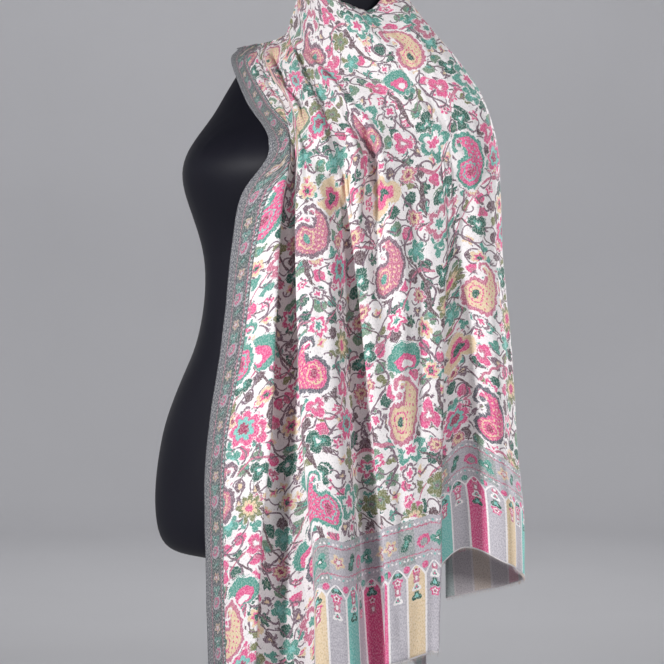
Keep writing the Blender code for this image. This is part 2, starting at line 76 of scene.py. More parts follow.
# A row for each fold line of the front fall, from the bordered edge at the left to the
# edge that is folded out of sight at the right. Each cell is (across, depth, height), in
# millimetres, and the columns run from the shoulder ridge down to the cut end.
FRONT_CUTS = ("ridge", "yoke", "chest", "bust", "rib", "waist", "hip", "seat", "thigh", "hem")
TRUE_TO_SIZE = 240.0             # the end's arches and band keep their size up to here
SIDE_END_SHARE = 0.80            # but show this much of it at the side, where the end curls in
SEEN_STEEPNESS = 1.5             # how soon a crease fades where the cloth turns from the viewer
FRONT_FOLDS = {
    "border_edge": (
        (-71, 150, 1401), (-79, 112, 1377), (-52, 0, 1305), (-12, -131, 1222), (-52, -143, 1153),
        (-67, -143, 1074), (-80, -138, 946), (-103, -128, 788), (-104, -129, 630), (-92, -137, 261),
    ),
    "panel_crest": (
        (-56, 138, 1405), (-57, 75, 1372), (-27, -31, 1301), (4, -146, 1221), (-22, -171, 1151),
        (-33, -178, 1073), (-44, -180, 946), (-63, -179, 791), (-68, -180, 636), (-62, -184, 278),
    ),
    "panel_edge": (
        (-40, 124, 1405), (-39, 56, 1370), (-7, -42, 1300), (16, -153, 1220), (6, -174, 1151),
        (1, -185, 1072), (-4, -193, 946), (-11, -199, 792), (-24, -200, 638), (-38, -194, 295),
    ),
    "panel_under": (
        (-36, 121, 1405), (-35, 53, 1370), (0, -43, 1300), (18, -147, 1220), (6, -158, 1151),
        (-7, -160, 1072), (-13, -164, 946), (-21, -172, 790), (-36, -172, 636), (-48, -168, 284),
    ),
    "groove": (
        (-31, 116, 1406), (-30, 48, 1368), (6, -45, 1300), (22, -142, 1221), (17, -149, 1152),
        (12, -148, 1073), (10, -148, 946), (6, -159, 790), (-2, -156, 635), (2, -160, 268),
    ),
    "fall_under": (
        (-26, 112, 1407), (-25, 39, 1367), (12, -53, 1299), (26, -146, 1220), (27, -157, 1151),
        (34, -160, 1072), (38, -168, 946), (44, -176, 790), (56, -176, 636), (60, -176, 300),
    ),
    "fall_edge": (
        (-21, 108, 1407), (-20, 30, 1366), (18, -60, 1298), (30, -152, 1220), (28, -173, 1151),
        (28, -186, 1072), (31, -199, 946), (38, -208, 792), (52, -212, 639), (56, -212, 455),
    ),
    "fall_edge_right": (
        (-7, 98, 1409), (-5, 25, 1365), (30, -58, 1298), (43, -144, 1221), (61, -167, 1151),
        (76, -176, 1073), (78, -192, 946), (87, -205, 792), (98, -204, 638), (108, -201, 462),
    ),
    "recess": (
        (8, 88, 1419), (14, -2, 1362), (48, -79, 1296), (68, -148, 1220), (86, -142, 1151),
        (98, -138, 1073), (104, -142, 946), (112, -156, 790), (121, -154, 635), (129, -158, 466),
    ),
    "lap_under": (
        (11, 85, 1425), (24, -3, 1362), (58, -76, 1296), (80, -143, 1221), (99, -141, 1152),
        (112, -140, 1073), (128, -150, 946), (143, -164, 791), (157, -160, 636), (161, -158, 474),
    ),
    "lap_edge": (
        (15, 82, 1430), (34, -5, 1361), (67, -75, 1296), (93, -137, 1222), (98, -151, 1152),
        (108, -159, 1073), (122, -178, 946), (136, -188, 791), (150, -184, 636), (153, -180, 478),
    ),
    "tuck_crest": (
        (20, 76, 1448), (46, -18, 1360), (83, -86, 1295), (111, -141, 1222), (117, -153, 1152),
        (122, -161, 1073), (139, -178, 946), (154, -185, 791), (167, -182, 636), (170, -179, 483),
    ),
    "pocket": (
        (25, 66, 1463), (56, -26, 1358), (97, -90, 1295), (132, -111, 1224), (137, -123, 1154),
        (141, -140, 1074), (158, -167, 946), (173, -176, 790), (184, -174, 635), (187, -171, 487),
    ),
    "pocket_edge": (
        (28, 54, 1476), (68, -31, 1358), (110, -95, 1294), (149, -126, 1223), (154, -139, 1153),
        (160, -149, 1074), (175, -161, 946), (189, -171, 790), (199, -169, 634), (202, -166, 491),
    ),
    "lap_crest": (
        (38, 24, 1477), (98, -46, 1356), (135, -95, 1294), (178, -113, 1224), (186, -124, 1154),
        (190, -135, 1074), (202, -148, 946), (212, -160, 789), (216, -163, 634), (218, -160, 496),
    ),
    "lap_fold": (
        (74, -13, 1457), (147, -65, 1353), (183, -91, 1294), (224, -98, 1225), (233, -104, 1155),
        (239, -112, 1075), (238, -132, 946), (234, -149, 789), (232, -156, 633), (228, -158, 502),
    ),
    "lap_return": (
        (104, -20, 1444), (168, -70, 1353), (205, -88, 1295), (238, -94, 1226), (242, -99, 1156),
        (244, -102, 1076), (227, -114, 945), (215, -127, 787), (207, -134, 673), (204, -139, 568),
    ),
    "dip": (
        (135, -11, 1437), (191, -73, 1352), (229, -84, 1295), (256, -87, 1226), (262, -91, 1156),
        (265, -91, 1076), (265, -88, 945), (266, -87, 785), (266, -86, 712), (263, -88, 635),
    ),
    "side_crest": (
        (158, 8, 1464), (222, -72, 1352), (258, -79, 1296), (281, -80, 1227), (292, -81, 1157),
        (300, -83, 1077), (311, -91, 945), (316, -97, 786), (325, -99, 705), (328, -99, 616),
    ),
    "side_turn": (
        (174, 24, 1479), (246, -62, 1354), (288, -64, 1298), (308, -60, 1229), (315, -60, 1158),
        (320, -58, 1078), (333, -58, 945), (340, -61, 784), (350, -60, 694), (353, -60, 598),
    ),
    "side_back": (
        (193, 15, 1454), (265, -38, 1357), (301, -39, 1300), (322, -31, 1232), (326, -32, 1160),
        (329, -31, 1079), (341, -29, 945), (351, -26, 782), (360, -21, 684), (363, -20, 583),
    ),
    "return_fold": (
        (222, 16, 1412), (257, 5, 1363), (286, 3, 1305), (303, 9, 1235), (309, 10, 1163),
        (310, 11, 1080), (321, 16, 945), (328, 23, 779), (335, 30, 672), (336, 32, 566),
    ),
    "hidden_edge": (
        (238, 40, 1389), (250, 41, 1368), (255, 36, 1309), (253, 38, 1238), (250, 38, 1165),
        (247, 37, 1082), (247, 38, 945), (247, 37, 778), (249, 40, 662), (250, 42, 546),
    ),
}

# The back fall starts along the front fall's ridge on the far shoulder, goes round behind
# the neck and meets the front fall's ridge again on the near shoulder.
FAR_SHOULDER = (
    "border_edge", "panel_crest", "panel_edge", "groove", "fall_edge", "fall_edge_right",
    "recess",
)
NAPE = (
    (12, 92, 1432), (17, 86, 1448), (22, 80, 1463), (28, 88, 1475), (40, 102, 1483),
    (66, 121, 1487), (102, 128, 1488), (138, 121, 1487), (160, 103, 1485), (175, 76, 1482),
    (183, 46, 1477), (189, 28, 1468),
)
NEAR_SHOULDER = ("side_back", "return_fold")
RIDGE_STEP_BACK = 3.0
BACK_HEIGHTS = (1370, 1300, 1210, 1090, 940, 790)
BACK_CREST_LIFT = (12, 26, 42, 54, 61, 65)
BACK_HEM_LIFT = 68
BACK_LEFT = (-70, -78, -86, -92, -96, -100)      # across, at each of BACK_HEIGHTS
BACK_RIGHT = (214, 222, 228, 232, 232, 230)
BACK_HEM_LEFT, BACK_HEM_RIGHT = -102, 222
BACK_HEM_HEIGHT_LEFT, BACK_HEM_HEIGHT_RIGHT = 700, 420
BACK_STAND_OFF = 7.0
LOWEST_BACK_CUT = 735            # below the hip the cloth hangs straight
BACK_SLOPE = (150.0, -70.0, -0.28)   # depth of a cloth hung straight from both shoulders
LOOK_STEP = 20                   # between the heights where the form's back is felt for
TOP_OF_ALL = 1500


class BackFold(NamedTuple):
    """One fold of the back fall: its place from edge to edge and its fullness, top and hem."""

    place_top: float
    place_hem: float
    full_top: float
    full_hem: float


BACK_FOLDS = (
    BackFold(0.00, 0.00, 0.1, 0.1),
    BackFold(0.06, 0.055, 0.5, 0.9),
    BackFold(0.13, 0.12, 0.0, 0.05),
    BackFold(0.21, 0.225, 1.3, 1.05),
    BackFold(0.29, 0.31, 0.2, 0.1),
    BackFold(0.35, 0.37, 0.3, 0.85),
    BackFold(0.41, 0.43, 0.1, 0.0),
    BackFold(0.50, 0.525, 1.4, 1.1),
    BackFold(0.59, 0.60, 0.1, 0.15),
    BackFold(0.66, 0.655, 0.9, 0.7),
    BackFold(0.72, 0.71, 0.0, 0.05),
    BackFold(0.80, 0.785, 1.2, 1.1),
    BackFold(0.88, 0.86, 0.25, 0.1),
    BackFold(0.94, 0.93, 0.4, 0.9),
    BackFold(1.00, 1.00, 0.2, 0.2),
)


class Crease(NamedTuple):
    """A soft trough or ridge in the front fall, drawn where the photograph shows it."""

    name: str
    rise: float       # millimetres, below zero for a trough
    breadth: float    # millimetres
    course: tuple[tuple[float, float], ...]   # pixels of the photograph


CREASES = (
    Crease("border lower edge", -5, 4, ((262, 66), (270, 84), (284, 98), (293, 115), (302, 131), (307, 147))),
    Crease("first gather", 5, 4, ((268, 58), (277, 80), (292, 98), (299, 116), (306, 134))),
    Crease("second gather", -6, 4, ((277, 60), (286, 87), (301, 105), (306, 118), (311, 133), (313, 150))),
    Crease("shoulder fold", 6, 6, ((290, 50), (302, 80), (314, 105), (322, 135), (330, 170))),
    Crease("long hollow", -6, 5, ((320, 93), (336, 115), (342, 140), (345, 175), (350, 215))),
    Crease("lap edge", 8, 4.5, ((307, 56), (324, 75), (347, 100), (368, 124), (380, 146), (384, 180))),
    Crease("pocket shade", -7, 5, ((346, 112), (362, 138), (368, 165), (368, 190), (364, 225))),
    Crease("chest ridge", 5, 9, ((392, 225), (401, 262), (403, 300), (402, 350), (398, 400))),
    Crease("chest dip", -5, 8, ((415, 205), (420, 250), (424, 310), (424, 380), (420, 440))),
    Crease("inner pleat", 4, 6, ((288, 470), (291, 520), (294, 570), (297, 620), (300, 664))),
    Crease("side pull", -3, 8, ((498, 150), (470, 200), (458, 250), (455, 300))),
    Crease("cross pull", 2, 7, ((388, 60), (410, 95), (440, 130), (468, 160))),
    Crease("cross hollow", -3, 8, ((360, 52), (380, 90), (410, 128), (448, 160), (470, 185))),
    Crease("lap ripple", -3, 7, ((396, 470), (402, 520), (398, 570), (400, 640))),
    Crease("fall ripple", -2, 6, ((318, 250), (322, 330), (322, 420), (330, 520))),
)


class Ripple(NamedTuple):
    """One slanting wave of the low ripples that all of the cloth has."""

    size: float       # as a share of the ripples' height
    wide: float       # millimetres from crest to crest across
    tall: float       # and down, below zero for the other slant
    start: float      # radians


RIPPLES = (
    Ripple(0.50, 61.0, 900.0, 0.4),
    Ripple(0.34, 37.0, -640.0, 2.1),
    Ripple(0.22, 23.0, 380.0, 4.0),
    Ripple(0.26, 140.0, 210.0, 1.2),
    Ripple(0.18, 75.0, -96.0, 5.2),
    Ripple(0.10, 41.0, 58.0, 3.3),
)


# --- smooth grids --------------------------------------------------------------------------


def blend(stations: np.ndarray, place: float) -> np.ndarray:
    """Read a smooth curve through evenly numbered stations.

    Args:
        stations: the points that the curve passes through, along the first axis.
        place: where to read it, from 0 to the last station's number.

    Returns:
        The point of the Catmull-Rom spline at that place.
    """
    last = len(stations) - 1
    place = min(max(place, 0.0), float(last))
    i = min(int(place), last - 1)
    t = place - i
    p1, p2 = stations[i], stations[i + 1]
    p0 = stations[i - 1] if i > 0 else 2 * p1 - p2
    p3 = stations[i + 2] if i + 2 <= last else 2 * p2 - p1
    return 0.5 * (
        2 * p1
        + (p2 - p0) * t
        + (2 * p0 - 5 * p1 + 4 * p2 - p3) * t * t
        + (3 * p1 - 3 * p2 + p3 - p0) * t * t * t
    )


def smooth_grid(lines: np.ndarray, columns: int, rows: int) -> np.ndarray:
    """Fill the spaces between fold lines.

    Args:
        lines: fold lines by stations by 3.
        columns: how many points across, ends included.
        rows: how many points down, ends included.

    Returns:
        An array of columns by rows by 3.
    """
    places = [(lines.shape[1] - 1) * r / (rows - 1) for r in range(rows)]
    stations = lines.transpose(1, 0, 2)
    down = np.stack([blend(stations, place) for place in places], axis=1)
    return np.stack(
        [blend(down, (len(lines) - 1) * c / (columns - 1)) for c in range(columns)]
    )


def lengths(points: np.ndarray, axis: int) -> np.ndarray:
    """Measure the running length along one axis of a grid, starting at zero.

    Args:
        points: the grid's points, with their coordinates last.
        axis: the axis of the grid to run along.

    Returns:
        The length up to each point, in the shape of the grid.
    """
    steps = np.linalg.norm(np.diff(points, axis=axis), axis=-1)
    run = np.cumsum(steps, axis=axis)
    pad = [(0, 0)] * run.ndim
    pad[axis] = (1, 0)
    return np.pad(run, pad)


def along_path(path: np.ndarray, share: float) -> np.ndarray:
    """Find the point a given share of the way along a path.

    Args:
        path: the path's points, in order.
        share: how far along it, from 0 to 1.

    Returns:
        The point.
    """
    run = lengths(path, 0)
    return np.array([np.interp(share * run[-1], run, path[:, k]) for k in range(3)])


def in_photo(points: np.ndarray) -> tuple[np.ndarray, np.ndarray, np.ndarray]:
    """Find where points fall in the photograph.

    Args:
        points: the points, in metres, with their coordinates last.

    Returns:
        The pixel across, the pixel down and the size of a pixel there, in metres.
    """
    pixel = PHOTO_PIXEL * (points[..., 1] - CAMERA_PLACE[1]) / -CAMERA_PLACE[1]
    across = PHOTO_SIDE / 2 + (points[..., 0] - CAMERA_PLACE[0]) / pixel
    down = PHOTO_SIDE / 2 - (points[..., 2] - CAMERA_PLACE[2]) / pixel
    return across, down, pixel


def distance_to_course(
    across: np.ndarray, down: np.ndarray, course: tuple[tuple[float, float], ...]
) -> np.ndarray:
    """Measure each point's distance to a bent line in the photograph.

    Args:
        across: the points' pixels across.
        down: the points' pixels down.
        course: the bent line's corners, in pixels.

    Returns:
        The distances, in pixels.
    """
    nearest = np.full(across.shape, np.inf)
    for (x0, y0), (x1, y1) in zip(course, course[1:]):
        dx, dy = x1 - x0, y1 - y0
        share = np.clip(((across - x0) * dx + (down - y0) * dy) / (dx * dx + dy * dy), 0, 1)
        away = np.hypot(across - x0 - share * dx, down - y0 - share * dy)
        nearest = np.minimum(nearest, away)
    return nearest


def skin_of(node: str) -> BVHTree:
    """Make a search tree of a CAD node's surface.

    Args:
        node: the node's name.

    Returns:
        The tree.
    """
    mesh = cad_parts[node].data
    corners = [vertex.co.copy() for vertex in mesh.vertices]
    return BVHTree.FromPolygons(corners, [tuple(face.vertices) for face in mesh.polygons])


def link_mesh(name: str, mesh: bpy.types.Mesh) -> bpy.types.Object:
    """Make an object of a mesh, in the scene and at the origin.

    Args:
        name: the object's name.
        mesh: its mesh.

    Returns:
        The object.
    """
    piece = bpy.data.objects.new(name, mesh)
    bpy.context.scene.collection.objects.link(piece)
    return piece


def select_only(piece: bpy.types.Object) -> None:
    """Leave one object selected and active, for the operators that follow.

    Args:
        piece: the object.
    """
    bpy.ops.object.select_all(action="DESELECT")
    piece.select_set(True)
    bpy.context.view_layer.objects.active = piece


# --- the shawl's falls ------------------------------------------------------------------------


class Panel(NamedTuple):
    """A run of fold lines whose cloth is in sight without a break.

    Between two panels more of the cloth is tucked in than the folds show, so the pattern
    jumps there. Within one, it is drawn true to size from the line that holds it.
    """

    first: int
    last: int
    holds: float          # the fold line that keeps its place on the flat cloth
    joins: bool = False   # whether it runs on from the last panel above the level cut


@dataclass
class Fall:
    """One hanging end of the shawl, with its folds, creases, thickness and cloth plan."""

    name: str
    node: str
    outward: int                 # +1 where across x down points out of the cloth's face
    columns: int
    rows: int
    panels: tuple[Panel, ...]
    curl_turn: float             # how far the top edge rolls over, in degrees
    level_cut: float = 0.0       # the station where the pattern lies level from fold to fold
    curl_radius: float = 3.0 * MM
    curl_rows: int = 5
    wall: float = CLOTH_WALL * MM
    ripple: float = 1.1 * MM
    hem_hold: int = 8            # how close to the hem the fringe's room is taken
    lines: np.ndarray = field(default=None, repr=False)
    grid: np.ndarray = field(default=None, repr=False)

    def fold_lines(self) -> np.ndarray:
        """Return the fold lines, in metres, as lines by stations by 3."""
        raise NotImplementedError

    def normals(self) -> np.ndarray:
        """Work out which way the cloth's right side faces.

        Returns:
            A direction of length 1 at each point of the grid.
        """
        along = np.gradient(self.grid, axis=0)
        down = np.gradient(self.grid, axis=1)
        normal = np.cross(along, down) * self.outward
        size = np.linalg.norm(normal, axis=2, keepdims=True)
        return normal / np.maximum(size, 1e-9)

    def drape(self, form: BVHTree) -> None:
        """Shape the middle of the cloth: folds, ripples, creases, clear of the form.

        Args:
            form: the dress form's surface.
        """
        self.lines = self.fold_lines()
        self.grid = smooth_grid(self.lines, self.columns, self.rows)
        self.shorten_for_fringe()
        self.grid = self.grid + self.normals() * self.relief()[..., None]
        self.clear_of(form)
        self.roll_top_edge()
        self.clear_of(form)

    def shorten_for_fringe(self) -> None:
        """Leave room for the fringe below the cut end, inside the fall's solid."""
        down = self.grid[:, -1] - self.grid[:, -2]
        down /= np.linalg.norm(down, axis=1, keepdims=True)
        share = np.linspace(0, 1, self.rows) ** self.hem_hold
        self.grid = self.grid - down[:, None] * share[None, :, None] * FRINGE_REACH * MM

    def relief(self) -> np.ndarray:
        """Raise the low ripples of the cloth between its folds.

        Returns:
            How far each point stands out of the plain folds, in metres.
        """
        across = lengths(self.grid, 0)[:, -1:] / MM
        down = lengths(self.grid, 1) / MM
        height = sum(
            wave.size * np.sin(2 * math.pi * (across / wave.wide + down / wave.tall) + wave.start)
            for wave in RIPPLES
        )
        return height * self.ripple

    def clear_of(self, form: BVHTree) -> None:
        """Move any point that comes too near the form straight out from it.

        Args:
            form: the dress form's surface.
        """
        for point in self.grid.reshape(-1, 3):
            place = Vector(point)
            spot, normal, _, _ = form.find_nearest(place, NEAR_FORM)
            if spot is not None and (place - spot).dot(normal) < CLOTH_GAP * MM:
                point[:] = spot + normal * CLOTH_GAP * MM

    def roll_top_edge(self) -> None:
        """Add rows that roll the top edge over, as the soft turn of a folded cloth."""
        up = self.grid[:, 0] - self.grid[:, 1]
        up /= np.linalg.norm(up, axis=1, keepdims=True)
        inward = -self.normals()[:, 0]
        rows = []
        for step in range(self.curl_rows, 0, -1):
            turn = math.radians(self.curl_turn) * step / self.curl_rows
            rise, reach = math.sin(turn), 1 - math.cos(turn)
            rows.append(self.grid[:, 0] + self.curl_radius * (up * rise + inward * reach))
        self.grid = np.concatenate((np.stack(rows, axis=1), self.grid), axis=1)

    def plan_across(self) -> list[np.ndarray]:
        """Lay the panels out across the flat cloth.

        Returns:
            U for each panel, as columns by rows, with no value outside the panel.
        """
        per_line = (self.columns - 1) / (len(self.lines) - 1)
        run = lengths(self.grid, 0)
        flat = run[:, -1] * (CUT_WIDTH * MM / run[-1, -1])
        plans = []
        held, start = None, None
        for panel in self.panels:
            holder = panel.holds * per_line
            last_held, last_start = held, start
            held = np.array([np.interp(holder, range(self.columns), row) for row in run.T])
            if panel.joins:
                rows = np.minimum(np.arange(run.shape[1]), self.level_row())
                start = last_start + (held - last_held)[rows]
            else:
                start = np.interp(holder, range(self.columns), flat)
            plan = start + run - held
            low, high = round(panel.first * per_line), round(panel.last * per_line)
            plan[:low] = np.nan
            plan[high + 1:] = np.nan
            plans.append(plan)
        return plans

    def level_row(self) -> int:
        """Return the row of the grid where the pattern lies level."""
        return round((self.rows - 1) * self.level_cut / (self.lines.shape[1] - 1)) + self.curl_rows

    def plan_up(self) -> np.ndarray:
        """Return V, the length of cloth below each point, as columns by rows."""
        run = lengths(self.grid, 1)
        return run[:, -1:] - run

    def cloth_mesh(self) -> bpy.types.Mesh:
        """Make the closed cloth of even thickness, with its plan and its wrong side marked.

        Returns:
            The mesh.
        """
        columns, rows = self.grid.shape[:2]
        half = self.normals() * self.wall / 2
        points = np.concatenate(((self.grid + half).reshape(-1, 3), (self.grid - half).reshape(-1, 3)))
        other = columns * rows
        plans = self.plan_across()
        plan_up = self.plan_up()
        faces, plan, side = [], [], []
        for c in range(columns - 1):
            sheet = next(p for p in plans if not np.isnan(p[c, 0]) and not np.isnan(p[c + 1, 0]))
            for r in range(rows - 1):
                a, b = c * rows + r, (c + 1) * rows + r
                ring = [a, a + 1, b + 1, b]
                spots = [(sheet[v // rows, v % rows], plan_up[v // rows, v % rows]) for v in ring]
                faces.append(ring if self.outward < 0 else ring[::-1])
                plan.append(spots if self.outward < 0 else spots[::-1])
                side.append(0.0)
                inner = [other + v for v in reversed(faces[-1])]
                plan.append(list(reversed(plan[-1])))
                faces.append(inner)
                side.append(1.0)
        rim = [c * rows for c in range(columns)]
        rim += [(columns - 1) * rows + r for r in range(1, rows)]
        rim += [c * rows + rows - 1 for c in range(columns - 2, -1, -1)]
        rim += [r for r in range(rows - 2, 0, -1)]
        edge_plan = {}
        for index in rim:
            c, r = divmod(index, rows)
            values = [p[c, r] for p in plans if not np.isnan(p[c, r])]
            edge_plan[index] = (values[0], plan_up[c, r])
        for a, b in zip(rim, rim[1:] + rim[:1]):
            ring = [a, b, other + b, other + a]
            spots = [edge_plan[a], edge_plan[b], edge_plan[b], edge_plan[a]]
            faces.append(ring if self.outward < 0 else ring[::-1])
            plan.append(spots if self.outward < 0 else spots[::-1])
            side.append(0.0)
        mesh = bpy.data.meshes.new(self.name)
        mesh.from_pydata(points.tolist(), [], faces)
        layer = mesh.uv_layers.new(name=PLAN_MAP)
        layer.data.foreach_set("uv", np.array(plan, dtype=np.float32).ravel())
        wrong = mesh.attributes.new(WRONG_SIDE, "FLOAT", "FACE")
        wrong.data.foreach_set("value", np.array(side, dtype=np.float32))
        mesh.polygons.foreach_set("use_smooth", [True] * len(faces))
        mesh.update()
        return mesh

    def flat_area(self) -> float:
        """Measure the flat cloth in this fall.

        Returns:
            Its area, in square metres.
        """
        run = lengths(self.grid, 1)[:, -1]
        across = lengths(self.grid, 0)[:, -1]
        flat = across * (CUT_WIDTH * MM / across[-1])
        return float(((run[1:] + run[:-1]) / 2 * np.diff(flat)).sum())

    def build(self, form: BVHTree, wool: bpy.types.Material) -> bpy.types.Object:
        """Args:
            form: the dress form's surface.
            wool: the printed wool.

        Returns:
            The fall's object.
        """
        self.drape(form)
        piece = link_mesh(self.name, self.cloth_mesh())
        piece.data.materials.append(wool)
        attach(piece, BODY)
        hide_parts(self.node)
        log.info("%s: %d faces", self.name, len(piece.data.polygons))
        return piece

    def longest(self) -> float:
        """Return the fall's greatest length from its ridge to its cut end, in metres."""
        return float(lengths(self.grid, 1)[:, -1].max())


@dataclass
class FrontFall(Fall):
    """The end that hangs in front, gathered on the far shoulder and lapped on the near one."""

    def fold_lines(self) -> np.ndarray:
        """Return the fold lines, in metres, as lines by stations by 3."""
        return np.array(list(FRONT_FOLDS.values()), dtype=float) * MM

    def column_of(self, line: str) -> int:
        """Return the column of the grid that a named fold line runs down."""
        per_line = (self.columns - 1) // (len(FRONT_FOLDS) - 1)
        return per_line * list(FRONT_FOLDS).index(line)

    def plan_up(self) -> np.ndarray:
        """Lay the cloth out up from its cut end, true to size there and level at the chest.

        Returns:
            V, as columns by rows.
        """
        run = super().plan_up()
        first = self.column_of("fall_edge")
        below = run[:, self.level_row()]
        columns = np.arange(len(run))
        slope, start = np.polyfit(columns[first:], below[first:], 1)
        for c in columns[first:]:
            level = start + slope * c
            share = SIDE_END_SHARE if c > self.column_of("lap_return") else 1.0
            marks = (0.0, TRUE_TO_SIZE * MM * share, below[c], below[c] + 1)
            run[c] = np.interp(run[c], marks, (0.0, TRUE_TO_SIZE * MM, level, level + 1))
        return run

    def relief(self) -> np.ndarray:
        """Add the creases that the photograph shows to the ripples.

        Returns:
            How far each point stands out of the plain folds, in metres.
        """
        height = super().relief()
        across, down, pixel = in_photo(self.grid)
        seen = np.clip(-self.normals()[..., 1] * SEEN_STEEPNESS, 0, 1)
        seen[self.column_of("side_back"):] = 0
        for crease in CREASES:
            away = distance_to_course(across, down, crease.course) * pixel / MM
            height += crease.rise * MM * np.exp(-((away / crease.breadth) ** 2)) * seen
        return height


@dataclass
class BackFall(Fall):
    """The end that hangs behind, from round the neck and both shoulders."""

    @staticmethod
    def form_back_depth(skin: BVHTree, across: float, height: float) -> float:
        """Find how far back the form reaches at one place, at this height or above.

        Args:
            skin: the dress form's surface.
            across: the place across, in millimetres.
            height: the height, in millimetres.

        Returns:
            The depth, in millimetres, at least that of a cloth hung from both shoulders.
        """
        depth, start, slope = BACK_SLOPE
        furthest = depth + slope * (across - start)
        for level in np.arange(height - LOOK_STEP, TOP_OF_ALL, LOOK_STEP):
            spot = skin.ray_cast(Vector((across * MM, 1, level * MM)), Vector((0, -1, 0)))[0]
            if spot is not None:
                furthest = max(furthest, spot.y / MM)
        return furthest

    def ridge(self) -> np.ndarray:
        """Lay the top edge a little behind the front fall's ridge.

        Returns:
            The edge's points, in millimetres.
        """

        def behind(name: str) -> np.ndarray:
            """Step back from the front fall's ridge along one of its fold lines.

            Args:
                name: the fold line.

            Returns:
                The point, in millimetres.
            """
            top, below = (np.array(cell, dtype=float) for cell in FRONT_FOLDS[name][:2])
            way = (top - below) * (1, 1, 0)
            return top + way / np.linalg.norm(way) * RIDGE_STEP_BACK

        far = [behind(name) for name in FAR_SHOULDER]
        near = [behind(name) for name in NEAR_SHOULDER]
        return np.array([*far, *(np.array(point, dtype=float) for point in NAPE), *near])

    def fold_lines(self) -> np.ndarray:
        """Hang each fold from its place on the ridge, fuller towards the hem.

        Returns:
            The fold lines, in metres, as lines by stations by 3.
        """
        ridge = self.ridge()
        skin = skin_of("dress_form")
        lines = []
        for fold in BACK_FOLDS:
            line = [along_path(ridge, fold.place_top)]
            hem_height = BACK_HEM_HEIGHT_LEFT + fold.place_hem * (
                BACK_HEM_HEIGHT_RIGHT - BACK_HEM_HEIGHT_LEFT
            )
            cuts = list(zip(BACK_HEIGHTS, BACK_CREST_LIFT, BACK_LEFT, BACK_RIGHT))
            cuts.append((hem_height, BACK_HEM_LIFT, BACK_HEM_LEFT, BACK_HEM_RIGHT))
            for height, lift, left, right in cuts:
                down = (BACK_HEIGHTS[0] - height) / (BACK_HEIGHTS[0] - hem_height)
                place = fold.place_top + down * (fold.place_hem - fold.place_top)
                fullness = fold.full_top + down * (fold.full_hem - fold.full_top)
                across = left + place * (right - left)
                depth = self.form_back_depth(skin, across, max(height, LOWEST_BACK_CUT))
                depth += BACK_STAND_OFF + lift * fullness
                line.append(np.array((across, depth, height)))
            lines.append(np.array(line))
        return np.stack(lines) * MM


# --- the fringe -----------------------------------------------------------------------------


@dataclass
class Fringe:
    """The short fringe of yarn ends along a fall's cut end."""

    name: str
    pitch: float = 1.5 * MM
    reach: float = FRINGE_REACH * MM
    thickness: float = 0.45 * MM
    sides: int = 3
    sown_in: float = 1.5 * MM    # how far each yarn starts inside the cloth
    lean_across: float = 0.28    # how much the yarns lean, as a share of their length
    lean_out: float = 0.22
    shortest: float = 0.62       # of the reach
    longest: float = 0.98
    unevenness: float = 0.3      # of the pitch
    # Each ring of a yarn: how far along it is, and its shares of the lean and the thickness.
    bends: tuple[tuple[float, float, float], ...] = ((0.5, 0.4, 0.8), (0.95, 1.0, 0.35))
    seed: int = 7

    def build(self, fall: Fall, yarn: bpy.types.Material) -> bpy.types.Object:
        """Make the yarn ends along the cut end of a fall.

        Args:
            fall: the fall that the fringe belongs to, already draped.
            yarn: the finish of the yarn ends.

        Returns:
            The fringe's object.
        """
        hem = fall.grid[:, -1]
        down = hem - fall.grid[:, -2]
        down /= np.linalg.norm(down, axis=1, keepdims=True)
        across = np.gradient(hem, axis=0)
        across /= np.linalg.norm(across, axis=1, keepdims=True)
        out = fall.normals()[:, -1]
        run = lengths(hem, 0)
        count = int(run[-1] / self.pitch)
        dice = np.random.default_rng(self.seed)
        points, faces = [], []
        for number in range(count):
            aside = dice.uniform(-self.unevenness, self.unevenness)
            place = (number + 0.5 + aside) * self.pitch
            root, way, wide, face = (
                np.array([np.interp(place, run, values[:, k]) for k in range(3)])
                for values in (hem, down, across, out)
            )
            lean = wide * dice.normal(0, self.lean_across) + face * dice.normal(0, self.lean_out)
            length = self.reach * dice.uniform(self.shortest, self.longest)
            rings = [(root - way * self.sown_in, 1.0)]
            for along, leaning, share in self.bends:
                rings.append((root + (way + lean * leaning) * length * along, share))
            start = len(points)
            for centre, share in rings:
                for side in range(self.sides):
                    angle = 2 * math.pi * side / self.sides
                    offset = wide * math.cos(angle) + face * math.sin(angle)
                    points.append(centre + offset * self.thickness / 2 * share)
            for level in range(len(rings) - 1):
                low, high = start + level * self.sides, start + (level + 1) * self.sides
                for side in range(self.sides):
                    after = (side + 1) % self.sides
                    faces.append((low + side, high + side, high + after, low + after))
            tip = start + (len(rings) - 1) * self.sides
            faces.append(tuple(tip + side for side in range(self.sides)))
            faces.append(tuple(start + side for side in reversed(range(self.sides))))
        mesh = bpy.data.meshes.new(self.name)
        mesh.from_pydata([tuple(p) for p in points], [], faces)
        work = bmesh.new()
        work.from_mesh(mesh)
        bmesh.ops.recalc_face_normals(work, faces=work.faces)
        work.to_mesh(mesh)
        work.free()
        piece = link_mesh(self.name, mesh)
        piece.data.materials.append(yarn)
        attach(piece, BODY)
        log.info("%s: %d yarn ends", self.name, count)
        return piece


# --- the dress form and its stand --------------------------------------------------------------


